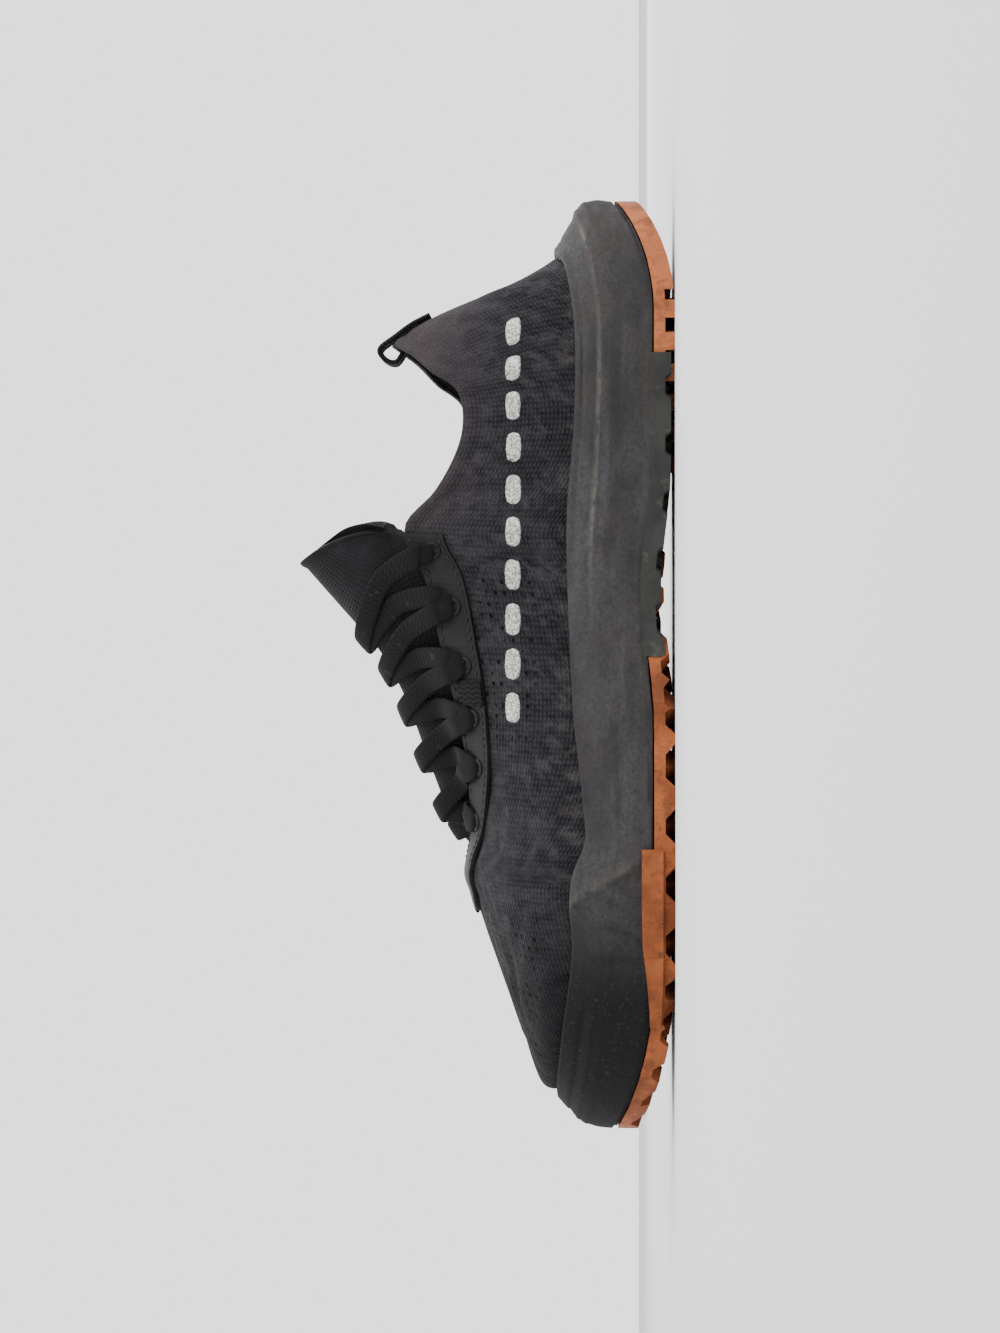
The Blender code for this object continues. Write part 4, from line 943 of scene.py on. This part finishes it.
def foam_relief(along, side, rise):
    """Wrinkles and moulded lines of the foam's side wall."""
    lift = 0.0011 * fold_ahead(along, rise)
    lift -= 0.0006 * smooth_step(0.0, 0.03, along - 0.698 - 0.05 * rise) * math.sin(math.pi * rise) ** 2
    ripples = band(0.705, 0.725, 0.79, 0.85, along) * band(0.03, 0.15, 0.50, 0.80, rise)
    bend = 1.4 * math.sin(rise * 6 + along * 40)
    lift -= 0.0011 * ripples * max(0.0, math.sin(along * 240 + rise * 8 + bend))
    soft = band(0.36, 0.5, 0.66, 0.70, along)
    lift += 0.00022 * soft * math.sin(along * 60 + rise * 4 + side) * math.sin(rise * 9 + along * 31)
    lift -= 0.0006 * bell(0.80, 0.035, rise) * smooth_step(0.84, 0.88, along)
    lift -= 0.0005 * bell(0.93, 0.02, rise) * (1 - smooth_step(0.30, 0.45, along))
    return lift


FOAM_LINES = 300
FOAM_UNDER, FOAM_WALL, FOAM_LIP = 0.08, 0.74, 0.86   # shares of a line's points where each stretch ends


def foam_side(side):
    """From under the edge of the foam, up the side, over the lip and down to the foot bed."""
    def place(u, v):
        along = rib_place(u)
        top, lean = WALL.at(along, "top"), WALL.at(along, "lean")
        low = deck(inset_point(along, side, 0.2 * SIDE_LEAN))
        if v < FOAM_UNDER:
            t = v / FOAM_UNDER
            point = inset_point(along, side, 0.2 * SIDE_LEAN + 0.004 * (1 - t), low + 0.0002 * (1 - t))
            return point, (along * SOLE_LENGTH, 0)
        if v < FOAM_WALL:
            rise = (v - FOAM_UNDER) / (FOAM_WALL - FOAM_UNDER)
            share, out = side_profile(rise)
            ridge = RIDGE_STEP * WALL.at(along, "ridge") * 1.3
            inset = share * lean - out * ridge - foam_relief(along, side, rise)
            point = inset_point(along, side, inset, low + rise * (top - low))
            return point, (along * SOLE_LENGTH, rise * 0.03)
        if v < FOAM_LIP:
            t = (v - FOAM_WALL) / (FOAM_LIP - FOAM_WALL)
            angle = math.pi * t
            inset = lean + LIP_WALL / 2 * (1 - math.cos(angle))
            height = top + 0.25 * LIP_WALL * math.sin(angle) - 0.15 * LIP_WALL * t
            return inset_point(along, side, inset, height), (along * SOLE_LENGTH, 0.03 + t * 0.004)
        t = (v - FOAM_LIP) / (1 - FOAM_LIP)
        bed = inset_point(along, side, lean + LIP_WALL)
        bed.z = BED.at(along_of(bed), "height")
        edge = inset_point(along, side, lean + LIP_WALL, top - 0.15 * LIP_WALL)
        return edge.lerp(bed, t), (along * SOLE_LENGTH, 0.034 + t * 0.012)
    return place


def merged_copy(node):
    """The solid's own mesh with its triangles joined, for finer work."""
    bm = bmesh.new()
    bm.from_mesh(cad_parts[node].data)
    bmesh.ops.remove_doubles(bm, verts=bm.verts, dist=2e-6)
    bmesh.ops.dissolve_limit(bm, angle_limit=math.radians(1.5), verts=bm.verts, edges=bm.edges)
    return bm


def make_midsole():
    bm = both_sides(FOAM_LINES, 52, foam_side, 5e-6, away_from((0, 0.1, 0.018)))
    foam = piece("midsole_foam", bm, FOAM, ("midsole",), angle=60)
    # Share of painted shade on the toe of the foam.
    paint_mark(foam.data, "toe", lambda p: smooth_step(0.71, 0.86, along_of(p)))

    def ridge(p):
        along = along_of(p)
        low, top = deck(p), WALL.at(along, "top")
        rise = (p.z - low) / (top - low)
        line = bell(0.705, 0.022, rise) * (1 - smooth_step(0.30, 0.55, along))
        # Dust along the moulded line, and a painted highlight along the fold ahead of the rubber's step.
        return line + 0.7 * fold_ahead(along, rise) ** 3

    paint_mark(foam.data, "ridge", ridge)
    bm = merged_copy("midsole")
    wall = [f for f in bm.faces if f.calc_center_median().z > deck(f.calc_center_median()) + 0.0008]
    bmesh.ops.delete(bm, geom=wall, context="FACES")
    tread = piece("foam_tread", bm, TREAD, ("midsole",), angle=30)
    soften(tread, 0.0005, 2, 25)


# Rubber

def make_outsole(node, name):
    bm = merged_copy(node)
    rubber = piece(name, bm, GUM, (node,), angle=40)
    mesh = rubber.data
    # Height above the tread of each face that looks down, and a metre for the others
    rise = [face.center.z - ground(face.center) if face.normal.z < -0.8 else 1.0 for face in mesh.polygons]
    paint(mesh, "worn", [height < 0.0009 for height in rise], "FACE")
    paint(mesh, "hollow", [0.0020 < height < 0.0042 for height in rise], "FACE")
    soften(rubber, 0.0006, 3, 25)


# Tongue, eyestay, laces and trim

TUCK = 0.008
TUCK_SHARE = 0.28            # share of the points across that lie under the edge of the throat
FREE_SHARE = 0.24            # share of the points along that lie above the eyestay
TONGUE_GAP = 0.0012
TONGUE_FRONT = 0.84


@lru_cache(None)
def dome(along, side):
    """Handles of the tongue's curve from the edge of the throat to its crest."""
    edge = on_upper(along, side, 0, -UPPER_WALL - TONGUE_GAP)
    below = on_upper(along, side, 0.003, -UPPER_WALL - TONGUE_GAP)
    place = CREST.at(along, "along")
    crest = plan_point(place, 0)
    crest.x = 0.5 * PLAN.at(place, "swing") + RIDGE_SHIFT
    crest.z = CREST.at(along, "height")
    reach = (crest - edge).length
    climb = edge + (edge - below).normalized() * 0.38 * reach
    return edge, climb, crest + Vector((0.5 * (edge.x - crest.x), 0, 0)), crest


def free_top(side, t):
    middle = 0.5 * PLAN.at(0.38, "swing") + RIDGE_SHIFT
    half = 0.86 * THROAT_WIDTH / 2
    edge = Vector((middle + side * half, 0.355 * SOLE_LENGTH - HEEL_REST, 0.765 * TONGUE_HEIGHT))
    crest = Vector((middle, 0.385 * SOLE_LENGTH - HEEL_REST, TONGUE_HEIGHT))
    handle = edge + Vector((-side * 0.2 * half, -0.002, 0.45 * (crest.z - edge.z)))
    return bezier((edge, handle, crest + Vector((side * 0.6 * half, 0, 0)), crest), t)


def tongue_point(along, side, across):
    """Across runs from the tucked side edge, 0, to the crest, 1."""
    if along >= THROAT_FOOT:
        back = TUCK * 2.2 * (1 - across)
        return on_upper(along, side, back, -UPPER_WALL - TONGUE_GAP)
    if across < TUCK_SHARE:
        return on_upper(along, side, TUCK * (1 - across / TUCK_SHARE), -UPPER_WALL - TONGUE_GAP)
    return bezier(dome(along, side), (across - TUCK_SHARE) / (1 - TUCK_SHARE))


def tongue_skin(side):
    last = EYELET_FOOT + 0.028

    def place(u, v):
        if u < 1 - FREE_SHARE:
            along = TONGUE_FRONT + (last - TONGUE_FRONT) * u / (1 - FREE_SHARE)
            point = tongue_point(along, side, v)
            swell = 0.0005 * math.sin(math.pi * v) * math.sin(u * 46) * smooth_step(0.2, 0.5, v)
            point = point + Vector((0, 0, swell))
            return point, ((1 - along) * SOLE_LENGTH, side * v * 0.04)
        t = (u - 1 + FREE_SHARE) / FREE_SHARE
        start, end = tongue_point(last, side, v), free_top(side, v)
        point = start.lerp(end, t)
        bow = math.sin(math.pi * t) * 0.0012 * math.sin(math.pi * v)
        roll = 0.0012 * smooth_step(0.86, 0.97, t)
        point = point + Vector((0, bow + roll, 0))
        return point, ((1 - last) * SOLE_LENGTH + t * 0.03, side * v * 0.04)
    return place


def make_tongue():
    bm = both_sides(110, 30, tongue_skin, 0.0001, lambda face: face.normal.z)
    tongue = piece("tongue_padding", bm, PADDING, ("tongue",), angle=70)
    thicken(tongue, TONGUE_WALL, -1)
    bpy.context.view_layer.update()
    shape = tongue.evaluated_get(bpy.context.evaluated_depsgraph_get())
    mesh = bpy.data.meshes.new_from_object(shape)
    tongue.modifiers.clear()
    tongue.data = mesh
    mesh.materials.clear()
    mesh.materials.append(PADDING)
    shares = [smooth_step(-0.1, -0.4, v.normal.z) * smooth_step(0.080, 0.092, v.co.z) for v in mesh.vertices]
    paint(mesh, "back", shares)
    soften(tongue, 0.0012, 3, 50)


EYESTAY_FRONT = 0.790
ARM_SHARE = 0.8              # share of the points along that belong to the arm
STITCH_EDGE = 0.0016         # distance of the stitches from the edges of the eyestay


def eyestay_skin(side):
    first = EYELET_FOOT + 0.006

    def place(u, v):
        if u < ARM_SHARE:
            along = THROAT_FOOT - (THROAT_FOOT - first) * (1 - u / ARM_SHARE) ** 1.6
            width, open_edge = 1.0, 1.0
        else:
            angle = math.pi / 2 * (u - ARM_SHARE) / (1 - ARM_SHARE)
            along = THROAT_FOOT + (EYESTAY_FRONT - THROAT_FOOT) * math.sin(angle)
            width, open_edge = max(0.0, math.cos(angle)), max(0.0, 1 - (u - ARM_SHARE) / 0.02)
        back = EYESTAY_WIDTH * width * v
        groove = bell(EYESTAY_WIDTH * width - STITCH_EDGE, 0.0005, back) * min(1, 4 * width)
        groove += open_edge * bell(STITCH_EDGE, 0.0005, back)
        return on_upper(along, side, back, 0.00025 - 0.00022 * groove), (along * SOLE_LENGTH, back)
    return place


def make_eyestay():
    bm = both_sides(150, 22, eyestay_skin, 0.0001, lambda face: face.normal.z)
    eyestay = piece("eyestay_film", bm, FILM, ("eyestay",), angle=60)
    thicken(eyestay, EYESTAY_WALL + 0.0002, 1)
    soften(eyestay, 0.0004, 2, 50)


LACE_FIRST, LACE_LAST = 0.664, 0.385
LACE_END = 0.0075            # distance of the holes below the edge of the throat
LACE_PINCH = 0.16            # share of a run over which the lace spreads out from its hole


def eyelet(row, side):
    return LACE_FIRST + (LACE_LAST - LACE_FIRST) * row / (LACE_ROWS - 1), side


def over_tongue(along, side, share, lift):
    here = bezier(dome(along, side), share)
    ahead = bezier(dome(along - 0.01, side), share) - bezier(dome(along + 0.01, side), share)
    beside = Vector((1, 0, 0)) if share == 1 else here - bezier(dome(along, side), share - 0.1)
    normal = beside.cross(ahead).normalized()
    normal *= math.copysign(1, normal.z)
    return here + lift * normal, normal


# Half a run of the lace: part of the run, distance below the edge, climb over the tongue, height
LACE_STOPS = (
    (0.000, LACE_END, 0.00, -0.0016),
    (0.020, LACE_END * 0.92, 0.00, 0.0004),
    (0.045, LACE_END * 0.74, 0.00, 0.0013),
    (0.085, LACE_END * 0.44, 0.00, 0.0017),
    (0.150, 0.0, 0.00, 0.0018),
    (0.240, 0.0, 0.35, 0.0020),
    (0.340, 0.0, 0.62, 0.0019),
    (0.430, 0.0, 0.84, 0.0018),
    (0.500, 0.0, 1.00, 0.0018),
)


def lace_stops(start, end, raised):
    stops = []
    rows = list(LACE_STOPS)
    rows += [(1 - part, back, climb, lift) for part, back, climb, lift in reversed(LACE_STOPS[:-1])]
    for part, back, climb, lift in rows:
        along = start[0] + (end[0] - start[0]) * part
        side = start[1] if part <= 0.5 else end[1]
        over = lift + raised * math.sin(math.pi * min(1, max(0, part)))
        if climb:
            stops.append(over_tongue(along, side, climb, over))
        else:
            over += EYESTAY_WALL if lift > 0 else 0
            stops.append((on_upper(along, side, back, over), upper_normal(along, side, back)))
    return stops


def through(points, t):
    """Smooth curve through points, read at a share of their count."""
    where = t * (len(points) - 1)
    k = min(len(points) - 2, int(where))
    f = where - k
    b, c = points[k], points[k + 1]
    a = points[k - 1] if k else 2 * b - c
    d = points[k + 2] if k + 2 < len(points) else 2 * c - b
    return 0.5 * (2 * b + (c - a) * f + (2 * a - 5 * b + 4 * c - d) * f * f
                  + (3 * b - a - 3 * c + d) * f ** 3)


def heading(points, t):
    return through(points, min(1, t + 0.01)) - through(points, max(0, t - 0.01))


def tape_section(v, flatness):
    """Place around the section of a flat tape with round edges, from -1 to 1 both ways."""
    across, up = math.cos(2 * math.pi * v), math.sin(2 * math.pi * v)
    return math.copysign(abs(across) ** flatness, across), math.copysign(abs(up) ** 0.8, up)


def add_lace_run(bm, points, normals, twist):
    length = sum((b - a).length for a, b in zip(points, points[1:]))

    def place(u, v):
        ahead = heading(points, u)
        sideways = ahead.cross(through(normals, u).normalized()).normalized()
        up = sideways.cross(ahead).normalized()
        flat, thin = tape_section(v, 0.35)
        open_out = smooth_step(0, LACE_PINCH, min(u, 1 - u))
        half = LACE_WIDTH / 2 * (0.45 + 0.55 * open_out)
        deep = LACE_THICKNESS / 2 * (1 - 0.12 * flat * flat) * (1.7 - 0.7 * open_out)
        sag = twist * math.sin(9 * u)
        point = through(points, u) + sideways * (flat * half) + up * (thin * deep + sag * flat)
        return point, (u * length, flat * LACE_WIDTH / 2)

    lofted(bm, 64, 16, place)


def close_ends(bm):
    bmesh.ops.holes_fill(bm, edges=[e for e in bm.edges if e.is_boundary], sides=60)
    bmesh.ops.recalc_face_normals(bm, faces=bm.faces)


def make_laces():
    bm = bmesh.new()
    runs = [(eyelet(0, OUTER), eyelet(0, INNER), 0.0)]
    for row in range(LACE_ROWS - 1):
        runs.append((eyelet(row, OUTER), eyelet(row + 1, INNER), 0.0002))
        runs.append((eyelet(row, INNER), eyelet(row + 1, OUTER), 0.0015))
    for k, (start, end, raised) in enumerate(runs):
        stops = lace_stops(start, end, raised)
        points = [p for p, _ in stops]
        raw = [n for _, n in stops]
        normals = [(a + b + c).normalized() for a, b, c in zip(raw[:1] + raw[:-1], raw, raw[1:] + raw[-1:])]
        add_lace_run(bm, points, normals, 0.00012 * (-1) ** k)
    weld(bm)
    close_ends(bm)
    piece("lace_tape", bm, LACE, ("laces",))


def make_eyelets():
    """Punched, folded rims of the lace holes."""
    bm = bmesh.new()
    for row in range(LACE_ROWS):
        for side in (OUTER, INNER):
            along = eyelet(row, side)[0]
            centre = on_upper(along, side, LACE_END, EYESTAY_WALL + 0.0006)
            normal = upper_normal(along, side, LACE_END)
            first = normal.orthogonal().normalized()
            second = normal.cross(first)

            def place(u, v, centre=centre, normal=normal, first=first, second=second):
                a, b = 2 * math.pi * u, 2 * math.pi * v
                ring = 0.0023 + 0.0006 * math.cos(b)
                outward = (first * math.cos(a) + second * math.sin(a)) * ring
                return centre + outward + normal * 0.0005 * math.sin(b), (u * 0.012, v * 0.003)

            lofted(bm, 28, 10, place)
    weld(bm)
    piece("eyelet_rims", bm, FILM)


LOOP_REACH = 0.016
LOOP_GAP = 0.0006


def heel_bow(back):
    middle, beside = upper_point(0, OUTER, back), upper_point(0.05, OUTER, back)
    return (beside.y - middle.y) / (beside.x - middle.x) ** 2


def make_pull_loop():
    out = LOOP_GAP + LOOP_THICKNESS / 2
    outside, inside = (LOOP_REACH, 0.6 * LOOP_REACH, 0.2 * LOOP_REACH), (0.2 * LOOP_REACH, 0.6 * LOOP_REACH)
    rim = upper_point(0, OUTER, 0)
    beyond = (rim - upper_point(0, OUTER, 0.003)).normalized()
    across = upper_normal(0, OUTER, 0)
    stand = LOOP_STAND + LOOP_THICKNESS / 2
    path = [on_upper(0, OUTER, back, out) for back in outside]
    path += [
        rim + stand * (0.75 * beyond + 0.6 * across),
        rim + stand * 1.15 * beyond - UPPER_WALL / 2 * across,
        rim + stand * (0.7 * beyond - 0.5 * across) - UPPER_WALL * across,
    ]
    path += [on_upper(0, OUTER, back, -UPPER_WALL - out) for back in inside]
    bows = [heel_bow(back) for back in outside + (0, 0, 0) + inside]
    bm = bmesh.new()

    def place(u, v):
        normal = heading(path, u).cross(Vector((1, 0, 0))).normalized()
        flat, thin = tape_section(v, 0.3)
        flat *= LOOP_WIDTH / 2
        thin *= LOOP_THICKNESS / 2
        bow = through(bows, u)
        return through(path, u) + normal * thin + Vector((flat, bow * flat * flat, 0)), (u * 0.06, flat)

    lofted(bm, 90, 28, place)
    weld(bm)
    close_ends(bm)
    piece("heel_webbing", bm, WEBBING, ("pull_loop",))


TAB_FOOT = 0.525
TAB_START = 0.0035


def make_side_tab():
    bm = bmesh.new()
    half = TAB_WIDTH / SOLE_LENGTH / 2

    def place(u, v):
        along = TAB_FOOT + half * (2 * u - 1)
        back = TAB_START + TAB_HEIGHT * v
        lift = 0.0014 + 0.0003 * math.sin(math.pi * v) + 0.0002 * math.sin(math.pi * u)
        return on_upper(along, OUTER, back, lift + 0.0004), (u * TAB_WIDTH, v * TAB_HEIGHT)

    lofted(bm, 16, 18, place)
    face_away(bm, lambda face: -face.normal.x)
    tab = piece("side_label", bm, WEBBING, ("side_tab",), angle=60)
    thicken(tab, 0.0006, 1)
    soften(tab, 0.0002, 2, 50)


# A broken line of short reflective dashes along both sides
DASH_FIRST, DASH_LAST = 0.135, 0.540
DASH_COUNT = 10
DASH_LENGTH, DASH_WIDTH = 0.0095, 0.0050
DASH_LEVEL = 0.0505


def back_at_height(along, side, height):
    """Distance below the top edge at which the upper has a height."""
    points, walked = rib_walk(along, side)
    heights = np.array([p.z for p in points])
    return float(np.interp(-height, -heights, walked))


def make_dashes():
    bm = bmesh.new()
    for side in (OUTER, INNER):
        for k in range(DASH_COUNT):
            def place(u, v, side=side, foot=DASH_FIRST + (DASH_LAST - DASH_FIRST) * k / (DASH_COUNT - 1)):
                a, b = 2 * u - 1, 2 * v - 1
                x = a * math.sqrt(1 - 0.35 * b * b) * DASH_LENGTH / 2
                y = b * math.sqrt(1 - 0.35 * a * a) * DASH_WIDTH / 2
                along = foot + x / SOLE_LENGTH
                back = back_at_height(along, side, DASH_LEVEL + y)
                lift = crease(along, side, back) + quilt(along, side, back)
                rim = 0.00030 * (1 - max(abs(a), abs(b)) ** 8)
                return on_upper(along, side, back, lift + rim), (along * SOLE_LENGTH, back)

            lofted(bm, 18, 12, place)
    for face in bm.faces:
        if face.normal.x * face.calc_center_median().x < 0:
            face.normal_flip()
    dashes = piece("reflective_dashes", bm, SILVER, angle=60)
    thicken(dashes, 0.0002, -1)


STITCH_PITCH, STITCH_LENGTH, STITCH_RADIUS = 0.0026, 0.0018, 0.00022
STITCH_LEVEL = EYESTAY_WALL + 0.00055


def make_stitches():
    """Two rows of small stitches along each arm of the eyestay."""
    bm = bmesh.new()

    def stitch(a, b, out):
        made = bmesh.ops.create_icosphere(bm, subdivisions=1, radius=1)["verts"]
        ahead = (b - a).normalized()
        beside = ahead.cross(out).normalized()
        for vert in made:
            x, y, z = vert.co
            vert.co = ((a + b) / 2 + ahead * (x * STITCH_LENGTH / 2) + beside * (y * STITCH_RADIUS)
                       + out * (z * STITCH_RADIUS))

    for side in (OUTER, INNER):
        for back in (STITCH_EDGE, EYESTAY_WIDTH - STITCH_EDGE):
            along = EYELET_FOOT + 0.012
            while along < THROAT_FOOT - 0.01:
                here = on_upper(along, side, back, STITCH_LEVEL)
                ahead = on_upper(along + 0.004, side, back, STITCH_LEVEL) - here
                stitch(here, here + ahead.normalized() * STITCH_LENGTH, upper_normal(along, side, back))
                along += STITCH_PITCH / SOLE_LENGTH
    chart = chart_layer(bm)
    for face in bm.faces:
        for loop in face.loops:
            loop[chart].uv = (loop.vert.co.y, loop.vert.co.z)
    piece("stitches", bm, THREAD)


def make_insole():
    insole = piece("footbed", merged_copy("insole"), FOOTBED, ("insole",), angle=40)
    soften(insole, 0.0012, 3, 40)


make_upper()
make_midsole()
make_outsole("outsole_heel", "gum_heel")
make_outsole("outsole_forefoot", "gum_forefoot")
make_tongue()
make_eyestay()
make_laces()
make_eyelets()
make_pull_loop()
make_side_tab()
make_dashes()
make_stitches()
make_insole()


# Floor, light and camera

def make_floor():
    bm = bmesh.new()
    bmesh.ops.create_grid(bm, x_segments=1, y_segments=1, size=4.0)
    mesh = bpy.data.meshes.new("floor")
    bm.to_mesh(mesh)
    bm.free()
    shop = Shop("pale floor")
    shop.set(Base_Color=(0.56, 0.553, 0.556), Roughness=0.9, Specular_IOR_Level=0.1)
    mesh.materials.append(shop.material)
    floor = bpy.data.objects.new("floor", mesh)
    bpy.context.scene.collection.objects.link(floor)


LIGHT_AIM = Vector((0, 0.1, 0.04))


def add_light(name, place, width, watts):
    data = bpy.data.lights.new(name, "AREA")
    data.shape = "RECTANGLE"
    data.size = width
    data.size_y = width
    data.energy = watts
    light = bpy.data.objects.new(name, data)
    light.location = place
    light.rotation_euler = (LIGHT_AIM - Vector(place)).to_track_quat("-Z", "Y").to_euler()
    bpy.context.scene.collection.objects.link(light)


make_floor()
add_light("heel softbox", (-0.9, -1.2, 0.8), 0.8, 38)
add_light("toe softbox", (-0.7, 1.5, 0.8), 1.0, 5)
add_light("top softbox", (0.3, 0.1, 1.7), 1.0, 14)
add_light("far softbox", (1.4, -0.3, 0.7), 1.0, 14)

world = bpy.data.worlds.new("pale room")
world.use_nodes = True
sky = world.node_tree.nodes["Background"].inputs
sky["Color"].default_value = (1.0, 0.985, 0.99, 1)
sky["Strength"].default_value = 2.1
bpy.context.scene.world = world

# Square to the outer side, as near to the floor as the camera can stand, toe down and sole to the right
CAMERA_DISTANCE = 1.05
CAMERA_HEIGHT = 0.014
CAMERA_AIM = Vector((0, 0.105, 0.056))
FRAME_HEIGHT = 1.333 / 3.09  # metres in view at the shoe, in a picture 1.333 times as high as wide
SENSOR = 36
camera_data = bpy.data.cameras.new("camera")
camera_data.sensor_fit = "VERTICAL"
camera_data.sensor_height = SENSOR
camera_data.lens = SENSOR * CAMERA_DISTANCE / FRAME_HEIGHT
camera = bpy.data.objects.new("camera", camera_data)
camera.location = (-CAMERA_DISTANCE, CAMERA_AIM.y, CAMERA_HEIGHT)
up, back = Vector((0, -1, 0)), (camera.location - CAMERA_AIM).normalized()
camera.rotation_euler = Matrix((up.cross(back), up, back)).transposed().to_euler()
bpy.context.scene.collection.objects.link(camera)
bpy.context.scene.camera = camera
